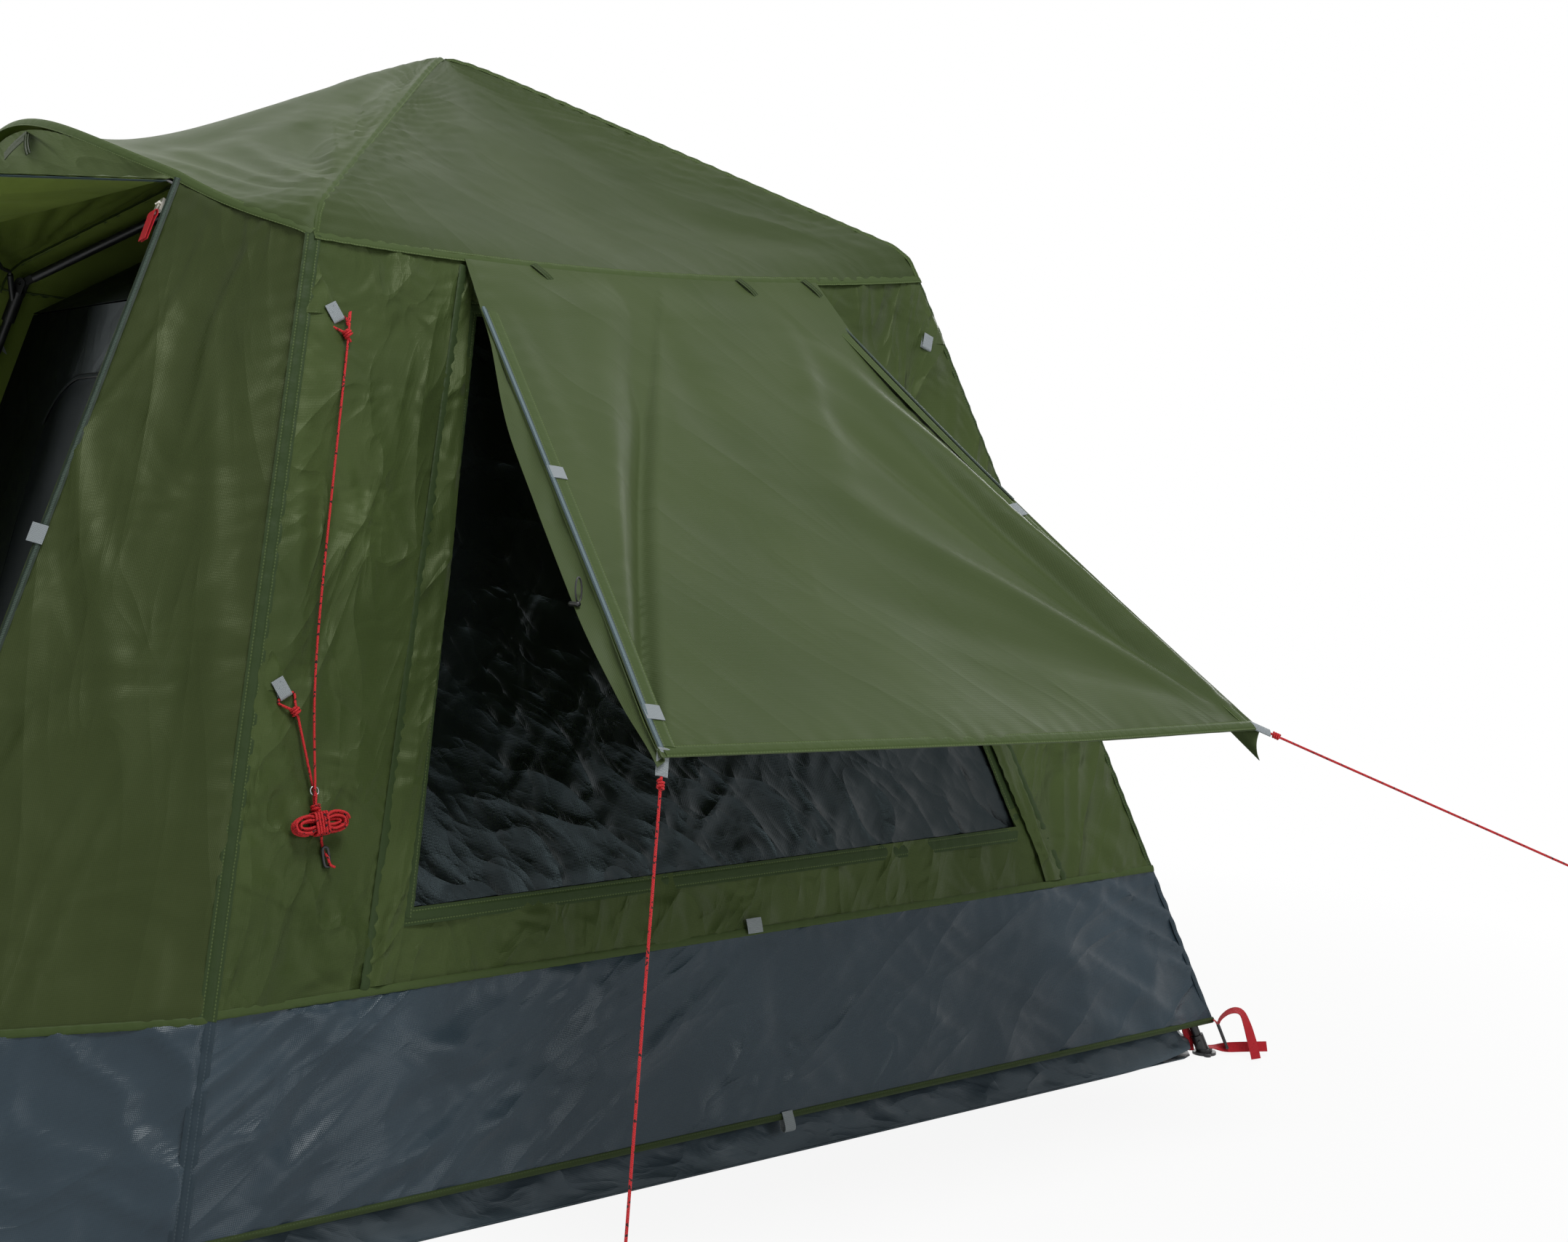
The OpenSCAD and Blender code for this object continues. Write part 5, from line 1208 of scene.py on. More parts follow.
skirtParts = []
for sx, seed in ((1, 261), (-1, 271)):
    def shape(u, v, s=sx):
        k = 1 - u if s > 0 else u
        z = lerp(tent["hemH"], tent["skirtH"], v)
        return lerp(cornerLine(1, -1, z), doorEdge(z), k) * (s, 1, 1)
    skirtParts.append(laySheet("vestibuleSkirt" + sideName[sx], shape, 60, 30, slateCloth,
            relief=skirtRelief(seed)))

# seam over the skirt and the binding on the hem
seamTapes = []
seamH = tent["skirtH"] + 0.006
for turns, reachOut, reachAlong in threeWalls:
    y = np.linspace(-1, 1, 100) * reachAlong(seamH)
    line = stacked(np.full(100, reachOut(seamH)), y, np.full(100, seamH))
    seamTapes.append(layTape("skirtSeam", quarter(line, turns), quarter(stacked(np.ones(100), 0, 0.27), turns),
            seam["skirt"], oliveTape, lift=0.002, relief=rippled(0.035, 0.0014, 281)))
for sx in (1, -1):
    k = np.linspace(0, 1, 60)
    line = lerp(cornerLine(sx, -1, np.full(60, tent["skirtH"])), doorEdge(tent["skirtH"]) * (sx, 1, 1), k)
    seamTapes.append(layTape("skirtSeam", line, stacked(np.full(60, sx), -0.3, 0.27), seam["skirt"], oliveTape,
            lift=0.002, relief=rippled(0.035, 0.0014, 282)))
skirtSeams = joinPieces("skirtSeams", seamTapes)
hemDrop = 0.0043
hemZ = tent["hemH"] - hemDrop
hemEnd = doorEdge(tent["hemH"]) + (-0.001, 0, -hemDrop)
hemCorners = [hemEnd, *(cornerLine(sx, sy, hemZ) for sx, sy in ((1, -1), (1, 1), (-1, 1), (-1, -1))),
        hemEnd * (-1, 1, 1)]
hemPath = np.vstack([lerp(hemCorners[i], hemCorners[i + 1], np.linspace(0, 1, 60, endpoint=i == 4))
        for i in range(5)])
hemBinding = layTube("hemBinding", hemPath, 0.013, bindingTape, sides=10, flat=0.5)
for side, piece in skirts.items():
    declare(piece, "shelter", ["skirt_" + side.lower()],
            [skirtSeams] if side == "Right" else ())
for node, (piece, jambZip) in vestibules.items():
    declare(piece, "shelter", [node],
            [jambZip])
declare(skirtParts[0], "shelter", ["vestibule_skirts"])
declare(skirtParts[1], "shelter", [])
fasten(hemBinding, "shelter", "olive_fabric", "hem_piping")
print("skirts and vestibule sewn")


# gable under the brow, and the door panel lifted out on its poles
def gablePoint(u, v):
    k = 0.03 + 0.94 * (1 - u)
    a = doorAngle + (math.pi - 2 * doorAngle) * k
    top = browPoint(a, 0.006)
    low = stacked(doorHead[0] * (1 - 2 * k), np.full_like(k, doorHead[1] + 0.008),
            np.full_like(k, doorHead[2] - 0.002))
    return lerp(low, top, 0.01 + 0.94 * v)


def gableRelief(m):
    return ((0.003 * bumps(m.x, m.y, 0.12, 301) + puckers(m.x, m.top, 0.03, 0.002, 0.03, 302))
            * smooth(m.low / 0.01))


# the gable's paler cloth is painted light
browGable = laySheet("browGable", gablePoint, 90, 16, gableClothPaintedLight, relief=gableRelief, inside=undersideAndPaintedLight)
ties = []
tieTop = gablePoint(np.array([0.548]), np.array([0.95]))[0]
for run, fall in ((-0.115, 0.030), (0.012, 0.040)):
    k = np.linspace(0, 1, 14)
    line = tieTop + stacked(run * k, -0.006 - 0.004 * np.sin(2.6 * k), -0.002 - fall * k)
    ties.append(layStrap("tie", line, (0.3, -1.0, 0.1), 0.015, bindingTape, 0.0016, columns=3))
gableTies = joinPieces("gableTies", ties)
declare(browGable, "shelter", ["brow_gable"], [gableTies])
doorHinge = np.array([0, doorHead[1] - 0.003, doorHead[2] - 0.008])


def doorPoint(u, v):
    half = lerp(door["headHalf"], door["outHalf"], v)
    return (doorHinge + stacked(u * half, -door["length"] * v,
            -door["fall"] * v - door["belly"] * np.sin(math.pi * v) * (1 - u * u)))


doorFolds = [(-0.9, 0.05, -0.1, 1.7, 0.06, 0.010), (0.9, 0.05, 0.1, 1.7, 0.06, 0.010),
        (-0.4, 1.85, -0.6, 0.6, 0.05, -0.010), (0.4, 1.85, 0.6, 0.6, 0.05, -0.010),
        (0.1, 1.9, 0.2, 0.7, 0.06, 0.010), (0.45, 1.8, 0.3, 0.9, 0.04, 0.008)]


def doorRelief(m):
    height = folded(m, doorFolds, 0.008, 0.22, 311)
    height += puckers(m.y, m.edge, 0.06, 0.004, 0.05, 312)
    return height * smooth(np.minimum(m.edge + 0.006, m.top) / 0.03)


doorPanel = laySheet("doorPanel", lambda u, v: doorPoint(2 * u - 1, 0.008 + 0.992 * (1 - v)), 120, 130,
        oliveCloth, relief=doorRelief, inside=undersideAndPaintedLight)
doorZips = joinPieces("doorZips", [
    layTape("doorZip", doorPoint(np.full(110, s * 1.0), np.linspace(0.01, 1, 110)) + (-s * 0.012, 0, -0.003),
            (0, -0.05, -1.0), 0.026, zipTape, lift=0.0012) for s in (1, -1)])
declare(doorPanel, "door_panel", ["door_panel"],
        [doorZips], bend=(tuple(doorHinge), tuple(doorPoint(np.zeros(1), np.full(1, door["bend"]))[0])))
print("door panel hung")

# the propped window awning: one smooth sheet from the eave seam, a sharp crease to its front corner
# and soft ones to its back corner
awningFolds = [(-0.70, 0.05, -0.14, 1.22, 0.034, 0.016), (0.68, 0.04, 0.34, 1.12, 0.030, 0.030),
        (0.66, 0.05, 0.20, 0.95, 0.030, -0.018), (0.64, 0.06, 0.05, 0.70, 0.040, 0.016),
        (0.62, 0.08, 0.38, 0.86, 0.014, -0.010), (0.60, 0.10, -0.10, 0.42, 0.05, -0.010),
        (0.30, 1.16, 0.12, 0.60, 0.04, 0.010), (-0.40, 1.15, -0.52, 0.45, 0.035, 0.010),
        (-0.05, 1.18, -0.10, 0.70, 0.05, -0.008)]
awningCrease = {"low": (-0.712, 0.0), "high": (0.0, 1.24), "deep": 0.026, "wide": 0.12, "step": 0.016}
awningSew = {"reach": 0.1, "hang": (0.032, 0.075), "out": 0.036, "flare": 0.006, "crown": 0.016}
# what it may hang below its swing line and still shut clear of the wall
awningRoom = {"slope": 0.066, "stand": 0.007, "hem": (0.147, 0.077)}


def awningRelief(m):
    side = np.where(m.left < m.right, 0.0, 5.0)
    height = folded(m, awningFolds, 0.004, 0.2, 401)
    height += puckers(m.y + side, m.edge, 0.05, 0.003, 0.035, 402) + puckers(m.x, m.low, 0.05, 0.002, 0.03, 403)
    height -= awningSew["flare"] * smooth(m.low / 0.2) * smooth(m.top / 0.35)
    crown = smooth((m.low - 0.35) / 0.5) * smooth(m.top / 0.15)  # full in the middle, none at seams and zips
    crown = crown * smooth((m.edge - 0.035) / 0.12) * smooth((0.5 - m.x) / 0.4)
    height += awningSew["crown"] * crown
    (x0, y0), (x1, y1) = awningCrease["low"], awningCrease["high"]
    aside = ((m.x - x0) * (y1 - y0) - (m.y - y0) * (x1 - x0)) / math.hypot(x1 - x0, y1 - y0)
    dip = np.where(aside < 0, np.clip(1 + aside / awningCrease["wide"], 0, 1) ** 2,
            np.clip(1 - aside / awningCrease["step"], 0, 1))
    u, v = 2 * m.u - 1, 1 - m.v
    height -= awningCrease["deep"] * dip * smooth(m.low / 0.1)
    valley = awningValley(u, v)
    deepest = awningRoom["stand"] - awningRoom["slope"] * awning["length"] * np.maximum(v, awningSew["reach"])
    height = np.maximum(height, deepest - awningLift(u, v) - valley) + valley
    return height * smooth(np.minimum(m.edge + 0.004, np.minimum(m.low + 0.004, m.top)) / 0.02)


# above its swing line the cloth runs on up to the eave seam
def awningCloth(u, v):
    y = u * awning["topHalf"]
    z = eaveLine(y, halfY(tent["eaveH"])) - 0.003
    seamAt = stacked(halfX(z) + 0.006, y, z)
    k = np.clip(v / awningSew["reach"], 0, 1)
    return lerp(seamAt, awningPoint(u, np.maximum(v, awningSew["reach"])),
            np.where(v < awningSew["reach"], k, 1.0))


awningRight = laySheet("awningRight", lambda u, v: awningCloth(2 * u - 1, 1 - v), 190, 130, oliveCloth,
        relief=awningRelief, inside=undersideAndPaintedLight)


# side hems hang from the edges, deepest at the lower corners
def hemPoint(u, v, s):
    k = u if s > 0 else 1 - u
    t = 1.0 - 0.93 * v
    which = 0 if s < 0 else 1
    deep = awningSew["hang"][which] * (0.35 + 0.65 * smooth(t * 1.6))
    deep = deep * (1 if s > 0 else 1 - 0.55 * smooth((t - 0.86) / 0.14))
    deep = np.minimum(deep, np.maximum(awningRoom["hem"][which] * t - 0.021, 0.004))
    out = awningSew["out"] * smooth((t - 0.08) / 0.3) * (1 - 0.8 * smooth((t - 0.7) / 0.3)) if s < 0 else 0.0
    edge = awningPoint(np.full_like(t, s * 0.999), t, -0.0015 if s > 0 else 0.0012)
    return edge + stacked(0 * k, -s * 0.010 * np.sin(math.pi * k) + s * out * k, -deep * k)


def hemRelief(m):
    return 0.004 * bumps(m.x, m.y, 0.08, 411) * smooth(m.left / 0.02) * smooth(m.right / 0.02)


awningHems = joinPieces("awningHems", [
    laySheet("awningHem", lambda u, v, s=s: hemPoint(u, v, s), 10, 90, oliveCloth, relief=hemRelief)
    for s in (1, -1)])


def awningSideLine(s, first, last, inward):
    return awningPoint(np.full(90, s * 1.0), np.linspace(first, last, 90)) + (0, -s * inward, 0)


# the back zip is a real zip drawn thin in the dark zip tape, darkened as a painted shadow line along that edge
awningZips = joinPieces("awningZips", [
    layTape("awningZip", awningSideLine(s, 0.035, last, 0.007), awningUp, wide, tape, lift=0.0026)
    for s, last, wide, tape in ((1, 0.5, 0.008, darkZipAndShadowTape), (-1, 0.985, 0.011, zipTape))])
awningStitching = joinPieces("awningStitching", [
    layTape("stitch", awningSideLine(s, 0.06, 0.985, 0.024), awningUp, 0.022, oliveTape,
            lift=0.0016, puff=0.0006) for s in (1, -1)])
# elastic loop and toggle that hold the awning when it is rolled up
loopAt = awningPoint(-1.0, 0.68) + (0.010, -0.028, -0.016)
turn = np.linspace(0, 2 * math.pi, 30)
loopLine = loopAt + stacked(0.004 * np.sin(turn), -0.009 * np.sin(turn), 0.020 * np.cos(turn))
toggleLine = lineFrom(loopAt + (0, -0.008, -0.022), np.array([1, 0, 0]), -0.012, 0.012, 8)
held = [layTube("loop", loopLine, 0.003, mouldedBlack, sides=8),
        layTube("toggle", toggleLine, 0.008, mouldedBlack, sides=10)]
fasten(joinPieces("hemToggle", held), "awning_right", "black_plastic")
sliderEnd = awningPoint(1.0, 0.03) + (0, -0.007, 0) + 0.006 * awningUp
awningSlider = layTube("awningZipSlider", lineFrom(sliderEnd, awningAlong, -0.008, 0.008, 6), 0.009,
        platedSteel, sides=8, flat=0.6)
fasten(awningSlider, "awning_right", "steel")
lowEdge = awningPoint(np.linspace(-0.985, 0.985, 90), np.full(90, 0.991))
awningHemTape = layTape("awningLowerHem", lowEdge, awningUp, 0.022, oliveTape, lift=0.0012)
cornerTabs = []
for s in (1, -1):
    corner = awningCorner(s)
    end = np.array(rope["frontEnd"] if s < 0 else rope["backEnd"])
    pull = unit(end - corner)
    line = lineFrom(corner, pull, -0.006, awning["tab"], 14)
    facing = unit(np.cross(pull, unit(np.cross(awningUp, pull))))
    cornerTabs.append(layTape("cornerTab", line, facing, 0.02, greyStrap, lift=0.001, thick=0.0024, columns=4))
awningTabs = joinPieces("awningTabs", cornerTabs)
reflectors = joinPieces("awningReflectors", [
    layPatch(awningPoint(np.full(6, u), v + np.linspace(-0.013, 0.013, 6)), awningUp, 0.031)
    for u, v in ((-0.965, 0.465), (-0.972, 0.925), (0.945, 0.525))])
declare(awningRight, "awning_right", ["awning_right"],
        [awningHems, awningZips, awningStitching, awningHemTape, awningTabs, reflectors],
        bend=((halfX(tent["eaveH"]), 0, tent["eaveH"]), tuple(awningPoint(0.0, awningSew["reach"]))))


# the other awning lies zipped shut over its window, with its hems unfolded
shutLow = 0.85
shutFolds = [(-0.6, 0.05, -0.1, 1.1, 0.05, 0.008), (0.6, 0.05, 0.1, 1.1, 0.05, 0.008)]


def shutPoint(u, v):
    z = awning["hingeH"] - awning["length"] / nx * (1 - v)
    half = lerp(shutLow, awning["topHalf"], v)
    return stacked(-(halfX(z) + 0.005 / nx), half * (1 - 2 * u), z)


def shutRelief(m):
    height = folded(m, shutFolds, 0.006, 0.2, 421)
    height += puckers(m.y, m.edge, 0.04, 0.003, 0.04, 422)
    return np.abs(height) * smooth(np.minimum(m.edge, m.top) / 0.02) + 0.002


awningLeft = laySheet("awningLeft", shutPoint, 110, 100, oliveCloth, relief=shutRelief, inside=undersideAndPaintedLight)
shutZips = joinPieces("awningLeftZips", [
    layTape("shutZip", shutPoint(np.full(90, share), np.linspace(0, 0.97, 90)), (-1.0, 0, kx), 0.026, zipTape,
            lift=0.004) for share in (0.0, 1.0)])
declare(awningLeft, "awning_left", ["awning_left"], [shutZips])
print("awnings hung")

# inner tent: a floor tub with cut corners, three plain walls, a front with its door and a peaked roof
inner = {"tubIn": 0.025, "in": 0.072, "tubH": 0.15, "cut": 0.062, "topCut": 0.004, "lift": 0.03, "top": 1.64,
        "low": 0.1503, "thick": 0.002, "doorHalf": 0.45, "doorLow": 0.22, "doorHigh": 1.48, "doorR": 0.16,
        "peak": 2.073}


def tubEdge(z):  # half its width, half its depth and the cut across its corners, at a height
    inset = inner["tubIn"] + (inner["in"] - inner["tubIn"]) * z / inner["tubH"]
    cut = inner["cut"] + (inner["topCut"] - inner["cut"]) * z / inner["tubH"]
    return halfX(z) - inset * nx, halfY(z) - inset * ny, cut


def tubRing(z):
    w, d, cut = tubEdge(z)
    return np.array([[w - cut, -d], [w, cut - d], [w, d - cut], [w - cut, d], [cut - w, d], [-w, d - cut],
            [-w, cut - d], [cut - w, -d], [w - cut, -d]])


tubAt = np.array([0, 0.02, 0.26, 0.28, 0.5, 0.52, 0.76, 0.78, 1.0])


def tubPoint(u, v):
    z = inner["tubH"] * v
    low, high = tubRing(0.0), tubRing(inner["tubH"])
    x, y = [np.interp(u, tubAt, low[:, i]) * (1 - v) + np.interp(u, tubAt, high[:, i]) * v for i in (0, 1)]
    corner = np.min(np.abs(u[:, None] - (0.01, 0.27, 0.51, 0.77, 1.01)), axis=1)
    return stacked(x, y, z + inner["lift"] * np.exp(-(corner / 0.016) ** 2) * (1 - v))


def tubRelief(m):
    height = 0.010 * bumps(m.left, m.y * 1.5, 0.09, 501) + 0.006 * bumps(m.left * 1.3 + 2 * m.y, m.y, 0.05, 502)
    return height * smooth(m.low / 0.04) * smooth(m.top / 0.03) - 0.004 * smooth(m.low / 0.02)


tubSides = laySheet("tubSides", tubPoint, 600, 16, tubCloth, relief=tubRelief)


def floorPoint(u, v):
    x, y = 2 * u - 1, 2 * v - 1
    w, d, cut = tubEdge(0.0)
    px, py = x * w, y * d
    over = np.clip(np.abs(px) + np.abs(py) - (w + d - cut), 0, None) / 2
    return stacked(px - np.sign(px) * over, py - np.sign(py) * over, np.full_like(u, 0.003))


tubFloor = laySheet("tubFloor", floorPoint, 60, 60, tubCloth,
        relief=lambda m: 0.0015 * bumps(m.x, m.y, 0.15, 503) * smooth(m.edge / 0.05))


def innerSide(u, v, sx):
    z = lerp(inner["low"], inner["top"], v)
    out, cloth = inner["in"], inner["in"] + inner["thick"]
    s = z * nx + cloth * kx
    half = halfY(z) - cloth * ny - 0.001
    return stacked(sx * (tent["halfW"] - s * kx / nx - out / nx), sx * half * (2 * u - 1),
            s / nx - out * kx / nx)


def innerAcross(x, z, sy):
    s = z * ny + (inner["in"] + inner["thick"]) * ky
    return stacked(x, sy * (tent["halfD"] - s * ky / ny - inner["in"] / ny), s / ny - inner["in"] * ky / ny)


def innerBack(u, v):
    z = lerp(inner["low"], inner["top"], v)
    return innerAcross((halfX(z) - inner["in"] * nx) * (1 - 2 * u), z, 1)


def innerRelief(deep, cell, seed, ease):
    return lambda m: deep * bumps(m.x, m.y, cell, seed) * smooth(m.rim / ease)


innerShapes = {"Right": lambda u, v: innerSide(u, v, 1), "Left": lambda u, v: innerSide(u, v, -1),
        "Back": innerBack}
innerPieces = []
for seed, (side, shape) in enumerate(innerShapes.items(), 511):
    innerPieces.append(laySheet("innerWall" + side, shape, 70, 50, innerCloth,
            relief=innerRelief(0.006, 0.18, seed, 0.03)))


def doorHalfAt(z):
    rise = np.clip(z - (inner["doorHigh"] - inner["doorR"]), 0, inner["doorR"])
    return inner["doorHalf"] - inner["doorR"] + np.sqrt(inner["doorR"] ** 2 - rise ** 2)


frontGrid = {"side": 14, "mid": 40, "low": 4, "tall": 56, "top": 8}


def innerFrontPoint(u, v):
    a, low, high = gridShares(frontGrid)
    z = np.interp(v, [0, low, high, 1], [inner["low"], inner["doorLow"], inner["doorHigh"], inner["top"]])
    half, gap = halfX(z) - inner["in"] * nx, doorHalfAt(z)
    return innerAcross(besideHole(u, a, half, half - gap, gap), z, -1)


innerFront = laySheet("innerFront", innerFrontPoint, *gridSize(frontGrid), innerCloth, hole=gridHole(frontGrid),
        relief=lambda m: 0.003 * bumps(m.x, m.y, 0.15, 521) * smooth(m.edge / 0.03))


def innerDoorPoint(u, v):
    z = inner["doorLow"] + 0.0004 + (inner["doorHigh"] - inner["doorLow"] - 0.0008) * v
    return innerAcross((2 * u - 1) * (doorHalfAt(z) - 0.0005), z, -1)


innerDoor = laySheet("innerDoor", innerDoorPoint, 50, 70, doorMesh, thick=0.001,
        relief=innerRelief(0.005, 0.14, 531, 0.04))
bendFrom = inner["doorHigh"] - inner["doorR"]
zline = np.concatenate([np.linspace(inner["doorLow"], bendFrom, 40),
        bendFrom + inner["doorR"] * np.sin(np.linspace(0.05, math.pi / 2, 20))])
rightSide = innerAcross(doorHalfAt(zline) + 0.008, zline, -1)
archLine = np.vstack([rightSide, (rightSide[44:] * (-1, 1, 1))[::-1]])  # the hinge side is sewn and has no zip
innerZip = layTape("innerDoorZip", archLine, (0, -1.0, ky), 0.012, innerTape, lift=0.003)


def innerRoofPoint(u, v):
    w = halfX(inner["top"]) - inner["in"] * nx - 0.001
    d = halfY(inner["top"]) - inner["in"] * ny
    ring = np.array([[w, -d], [w, d], [-w, d], [-w, -d], [w, -d]])
    at = np.linspace(0, 1, 5)
    k = 1 - v * 0.995
    z = inner["top"] + 0.004 + (inner["peak"] - inner["top"] - 0.004) * v
    sag = 0.02 * np.sin(math.pi * v) * np.abs(np.sin(4 * math.pi * u)) * 0.5
    return stacked(*(np.interp(u, at, ring[:, i]) * k for i in (0, 1)), z - sag)


innerRoof = laySheet("innerRoof", innerRoofPoint, 160, 40, innerCloth)
declare(tubSides, "shelter", ["floor_tub"])
declare(tubFloor, "shelter", [])
for i, piece in enumerate(innerPieces):
    declare(piece, "shelter", ["inner_walls"] if i == 0 else [])
declare(innerFront, "shelter", ["inner_front"],
        [innerZip])
declare(innerDoor, "inner_door", ["inner_door"])
declare(innerRoof, "shelter", ["inner_roof"])
print("inner tent hung")

# grey webbing: folded loops that the guys are tied to, and peg loops on the hem
webbing = {"wide": 0.025, "thick": 0.0014}


def foldedLoop(at, flip):
    length, mid = guy["loopLen"], guy["loopMid"]
    a = np.linspace(-math.pi / 2, math.pi / 2, 15)[1:-1]
    x = np.concatenate([np.linspace(-6, length, 14), length + mid * np.cos(a), np.linspace(length, -6, 10)])
    out = np.concatenate([np.full(14, 0.0), mid + mid * np.sin(a), np.full(10, 2 * mid)]) + 0.6
    bend = np.concatenate([np.full(14, -math.pi / 2), a, np.full(10, math.pi / 2)])
    line = turnedAt(at, stacked(x, 0, out))
    points = wallPlace(line)
    facing = wallPlace(line + turnFlat(stacked(np.cos(bend), 0, np.sin(bend)), guy["loopTurn"])) - points
    return layStrap("loop", points * (*flip, 1), facing * (*flip, 1), webbing["wide"], greyStrap,
            webbing["thick"])


loops = [foldedLoop(at, flip) for at in (highLoop, lowLoop) for flip in fourWays]
pegZ = np.array([0.085, 0.078, 0.072, 0.064, 0.056, 0.050, 0.047, 0.050, 0.056, 0.064, 0.070])
pegOut = np.array([0.006, 0.007, 0.008, 0.009, 0.009, 0.006, 0.0, -0.006, -0.008, -0.008, -0.006])
for turns, reachOut, _ in threeWalls:
    line = curveThrough(stacked(reachOut(pegZ) + pegOut, 0, pegZ), 0.004)
    along = unit(np.gradient(line, axis=0))
    facing = np.cross(along, (0, -1.0, 0))
    loops.append(layStrap("pegLoop", quarter(line, turns), quarter(-facing, turns), webbing["wide"], greyStrap,
            webbing["thick"]))
for at, facing, along in ((onRight(-0.008, 0.416, 0.004), (1, 0, kx), (0, 1, 0)),
        (doorEdge(1.165) + (0.004, 0.0, 0.0), (1.0, -0.55, 0.2), doorHead - doorLow)):
    loops.append(layPatch(lineFrom(at, unit(along), -0.018, 0.018, 6), facing, 0.028))
fasten(joinPieces("greyWebbingLoops", loops), "shelter", "grey_webbing", "webbing_tabs")

# ring and slider of the corner guy line
bpy.ops.object.select_all(action="DESELECT")
bpy.ops.mesh.primitive_torus_add(major_radius=guy["ringR"] / 1000, minor_radius=guy["ringWire"] / 2000,
        major_segments=40, minor_segments=12, location=tuple(wallPlace(ringAt)),
        rotation=(0, math.pi / 2 - math.atan(kx), 0))
guyRing = bpy.context.object
guyRing.name = "guyRing"
bpy.ops.object.transform_apply(location=True, rotation=True, scale=True)
bpy.ops.object.shade_smooth()
guyRing.data.materials.append(platedSteel)
turn = np.linspace(0, 2 * math.pi, 49)
oval = stacked(5.4 * np.cos(turn), 11.0 * np.clip(2 * np.sin(turn), -1, 1) + 5.4 * np.sin(turn), 0)
sliderRing = layTube("guySlider", wallPlace(sliderMid + oval), 0.0052, mouldedBlack, sides=10,
        up=(1, 0.01, 0.3))
fasten(guyRing, "shelter", "steel", "guy_fittings")
fasten(sliderRing, "shelter", "black_plastic")
print("webbing and guy fittings made")

# red straps at the feet: tub corner to foot, past the foot through a ladder lock, and a free end in an arch
strap = {"wide": 0.022, "rise": 0.016, "inset": 0.032}
lock = {"low": (0.054, 0.016), "high": (0.034, 0.068), "half": 0.0125, "thick": 0.0064}
arch = (np.array([[34, 66, 0], [40, 80, 0], [55, 95, 3], [72, 101, 8], [85, 95, 14], [94, 72, 22],
        [101, 45, 30], [107, 20, 38], [110, 4, 42]]) / 1000)
straps, locks = [], []
for sx, sy in fourWays:
    z = strap["rise"]
    w, d, cut = tubEdge(z)
    tub = np.array([sx * (w - cut / 2), sy * (d - cut / 2), z])
    base = np.array([sx * (halfX(z) - strap["inset"] * nx), sy * (halfY(z) - strap["inset"] * ny), 0.0])
    out = unit(np.array([base[0] - tub[0], base[1] - tub[1], 0]))
    up = np.array([0, 0, 1.0])
    run = np.linalg.norm((base - tub)[:2])
    side = np.array([sx * abs(out[1]), -sy * abs(out[0]), 0])
    place = lambda p: base + p[:, :1] * out + p[:, 1:2] * up + (p[:, 2:] * side if p.shape[1] > 2 else 0)
    inboard = curveThrough([[-run - 0.004, 0.09], [-run + 0.004, 0.05], [-run + 0.016, 0.024], [-0.03, 0.017],
            [-0.016, 0.017]], 0.006)
    outboard = curveThrough([[0.0155, 0.017], [0.03, 0.0165], [0.054, 0.0165], [0.09, 0.019], [0.138, 0.022]],
            0.006)
    hang = curveThrough([[0.024, 0.078], [0.030, 0.073], [0.036, 0.067]], 0.004)
    free = curveThrough(arch, 0.006)
    for line, twist, soon in ((inboard, 50, 2.2), (outboard, 62, 2.2), (hang, 0, 1), (free, 66, 1.15)):
        along = unit(np.gradient(line[:, :2], axis=0))
        a = np.radians(twist) * smooth(np.linspace(0, soon, len(line)))[:, None]
        flatUp = -along[:, 1:] * out + along[:, :1] * up
        straps.append(layStrap("strap", place(line), np.cos(a) * flatUp + np.sin(a) * side, strap["wide"],
                redStrap, 0.0016))
    low, high = place(np.array([lock["low"], lock["high"]]))
    for k in (0.04, 0.3, 0.62, 0.96):
        bar = lineFrom(lerp(low, high, k), side, -lock["half"], lock["half"], 8)
        locks.append(layTube("bar", bar, lock["thick"], mouldedBlack, sides=8))
    for s in (1, -1):
        bar = lerp(low, high, np.linspace(0, 1, 12)) + s * lock["half"] * side
        locks.append(layTube("bar", bar, lock["thick"], mouldedBlack, sides=8, up=(0.1, 0.2, 0.4)))
fasten(joinPieces("footStraps", straps), "shelter", "red_rope", "corner_straps")
fasten(joinPieces("ladderLocks", locks), "shelter", "black_plastic")
print("foot straps made")

# zip pull of the door: a folded tape on the slider's bar
doorDown = unit(doorLow - doorHead)
sliderAcross = unit(np.array([1.0, 0, 0]) - doorDown[0] * doorDown)
sliderFront = np.cross(doorDown, sliderAcross)
barAt = doorHead + 0.07 * doorDown - (0.009, 0, 0) + 0.009 * sliderFront
fold = curveThrough([[0.0022, 0.086], [0.0024, 0.06], [0.0026, 0.038], [0.0034, 0.026], [0.0, 0.0185],
        [-0.0034, 0.026], [-0.0018, 0.038], [-0.0016, 0.06], [-0.0014, 0.084]], 0.004)
line = barAt + fold[:, :1] * sliderFront + fold[:, 1:] * doorDown
along = np.gradient(fold, axis=0)
facing = along[:, 1:] * sliderFront - along[:, :1] * doorDown
fasten(layStrap("doorPullTab", line, facing, 0.022, redStrap, 0.0014), "door_pull", "red_rope", "door_pull")
puller = layTape("doorPullPlate", lineFrom(barAt, doorDown, -0.004, 0.027, 8), sliderFront, 0.010, nickelZinc,
        lift=0.0, thick=0.002, puff=0.0004, columns=4)
fasten(puller, "door_pull", "steel")

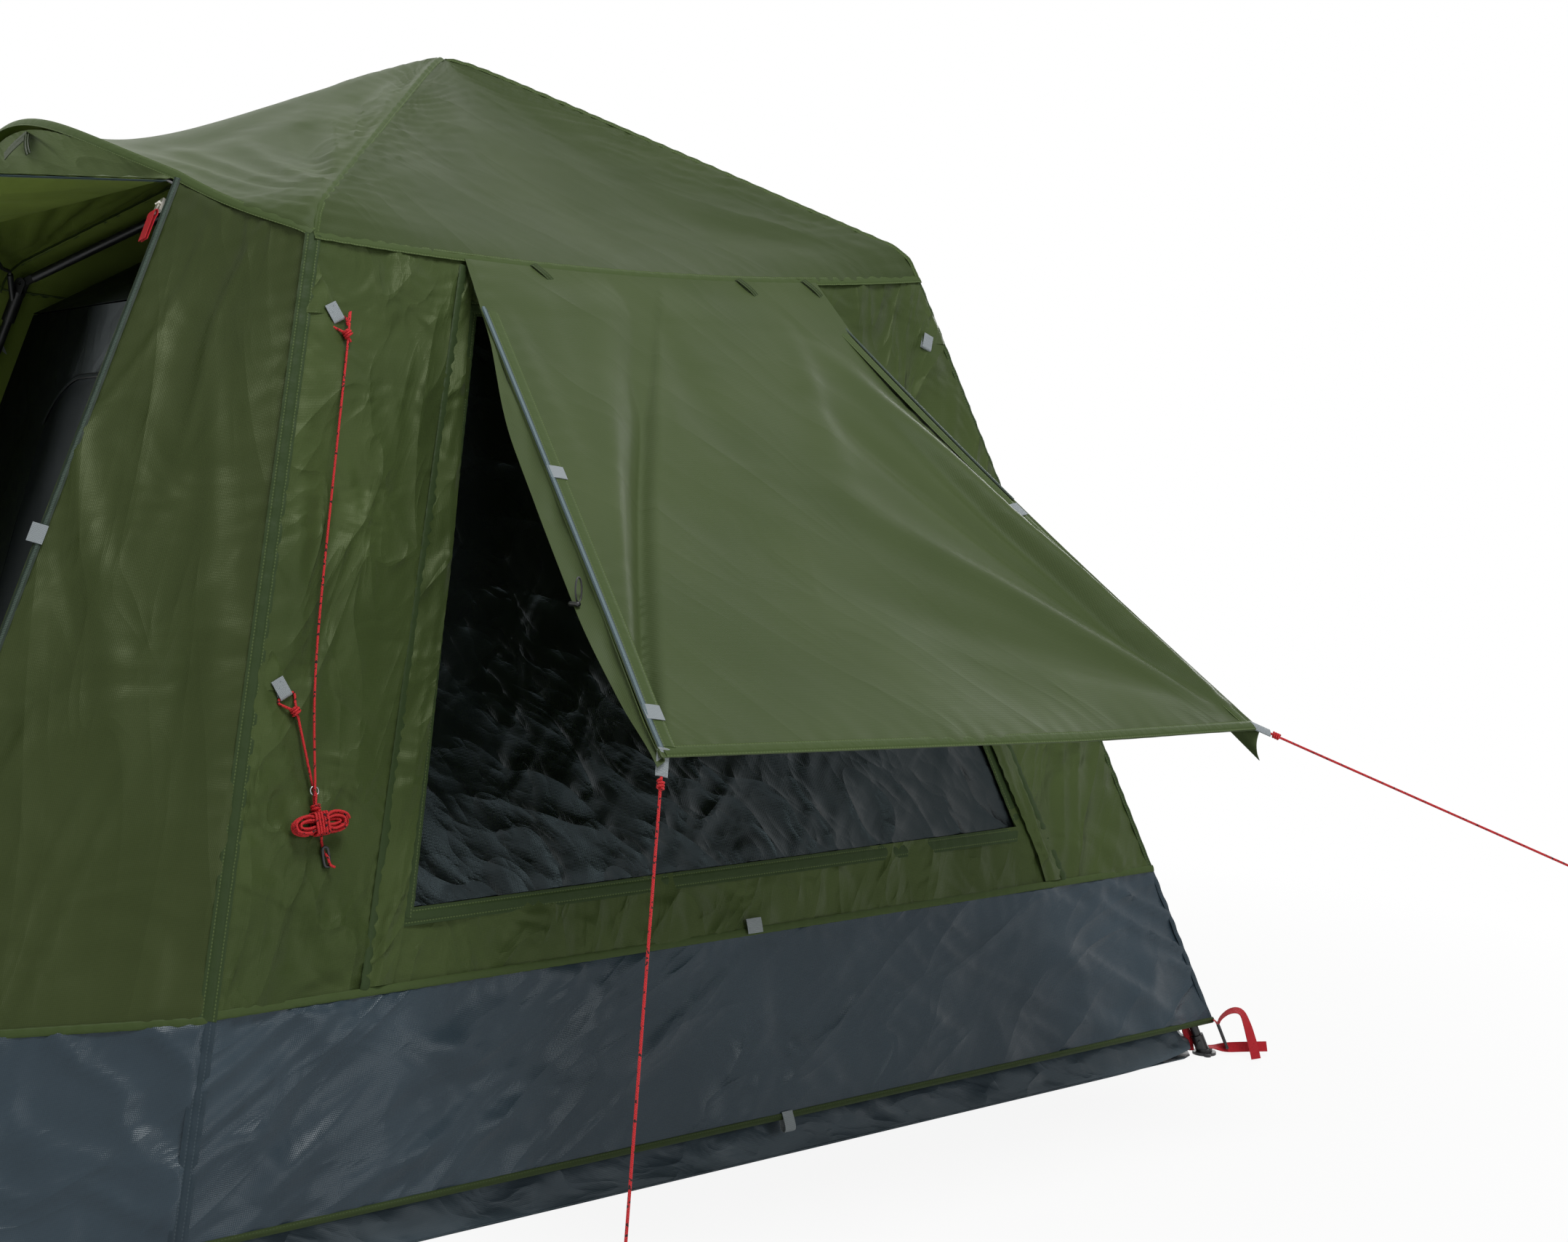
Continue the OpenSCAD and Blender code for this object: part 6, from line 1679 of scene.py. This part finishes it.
# hard parts keep the solids' shape and get their real finish
finishes = {paintedTube: ("roof_pole_", "upper_leg_", "lower_leg_", "brow_pole", "door_props"),
        mouldedBlack: ("hub_body", "hub_cap", "elbow_", "leg_locks", "foot_"),
        platedSteel: "pivot_pins", nickelZinc: "door_slider"}
for finish, starts in finishes.items():
    for name, solid in nodes.items():
        if name.startswith(starts):
            solid.data.materials.clear()
            solid.data.materials.append(finish)
print("hard parts finished")


# pale floor, plain white to the eye but for a faint shade by the hem, and soft light from wide lamps
def seenShare(tree):
    rays = addNode(tree, "LightPath").outputs
    seen = addNode(tree, "Math", {"operation": "MAXIMUM", 0: rays["Is Camera Ray"], 1: rays["Is Glossy Ray"]})
    return addNode(tree, "Math", {"operation": "MAXIMUM", 0: seen.outputs["Value"],
            1: rays["Is Transmission Ray"]}).outputs["Value"]


floorMaterial, tree = newMaterial("paleFloor")
at = addNode(tree, "TexCoord").outputs["Object"]
away = addNode(tree, "VectorMath", {"operation": "LENGTH", 0: at}).outputs["Value"]
fade = addNode(tree, "MapRange", {"From Min": 1.7, "From Max": 3.2, "To Min": 0.9, "To Max": 1.0, "Value": away})
share = addNode(tree, "Math", {"operation": "MULTIPLY", 0: seenShare(tree), 1: fade.outputs["Result"]})
pale = addNode(tree, "BsdfDiffuse", {"Color": srgb("#f4f4f2")})
glow = addNode(tree, "Emission", {"Color": (1, 1, 1, 1), "Strength": 1.0})
shader = addNode(tree, "MixShader", {0: share.outputs["Value"], 1: pale.outputs["BSDF"],
        2: glow.outputs["Emission"]})
addNode(tree, "OutputMaterial", {"Surface": shader.outputs["Shader"]})
bpy.ops.object.select_all(action="DESELECT")
bpy.ops.mesh.primitive_plane_add(size=120, location=(0, 0, -0.0005))
floor = bpy.context.object
floor.name = "paleFloor"
floor.data.materials.append(floorMaterial)

world = bpy.data.worlds.new("softRoom")
bpy.context.scene.world = world
world.use_nodes = True
tree = world.node_tree
tree.nodes.clear()
room, white = [addNode(tree, "Background", {"Color": (1, 1, 1, 1), "Strength": power}) for power in (0.17, 1.0)]
shader = addNode(tree, "MixShader", {0: seenShare(tree), 1: room.outputs["Background"],
        2: white.outputs["Background"]})
addNode(tree, "OutputWorld", {"Surface": shader.outputs["Shader"]})
lamps = {"overhead": {"place": (3.0, -0.7, 5.6), "size": 2.0, "power": 160, "aim": (0.4, 0, 1.0)},
        "side": {"place": (7.2, 0.8, 2.4), "size": 2.0, "power": 60, "aim": (0.8, 0, 1.0)},
        "front": {"place": (-5.0, -5.5, 2.6), "size": 3.0, "power": 300, "aim": (0, -0.8, 1.8)},
        "back": {"place": (-2.0, 7.0, 3.0), "size": 3.0, "power": 140, "aim": (-0.5, 0.5, 1.0)}}
for name, lamp in lamps.items():
    bpy.ops.object.light_add(type="AREA", location=lamp["place"])
    light = bpy.context.object
    light.name = name
    light.data.size = lamp["size"]
    light.data.energy = lamp["power"]
    way = np.array(lamp["aim"]) - np.array(lamp["place"])
    flatRun = math.hypot(way[0], way[1])
    light.rotation_euler = (math.atan2(flatRun, -way[2]), 0, math.atan2(way[1], way[0]) - math.pi / 2)
print("lights and floor set")
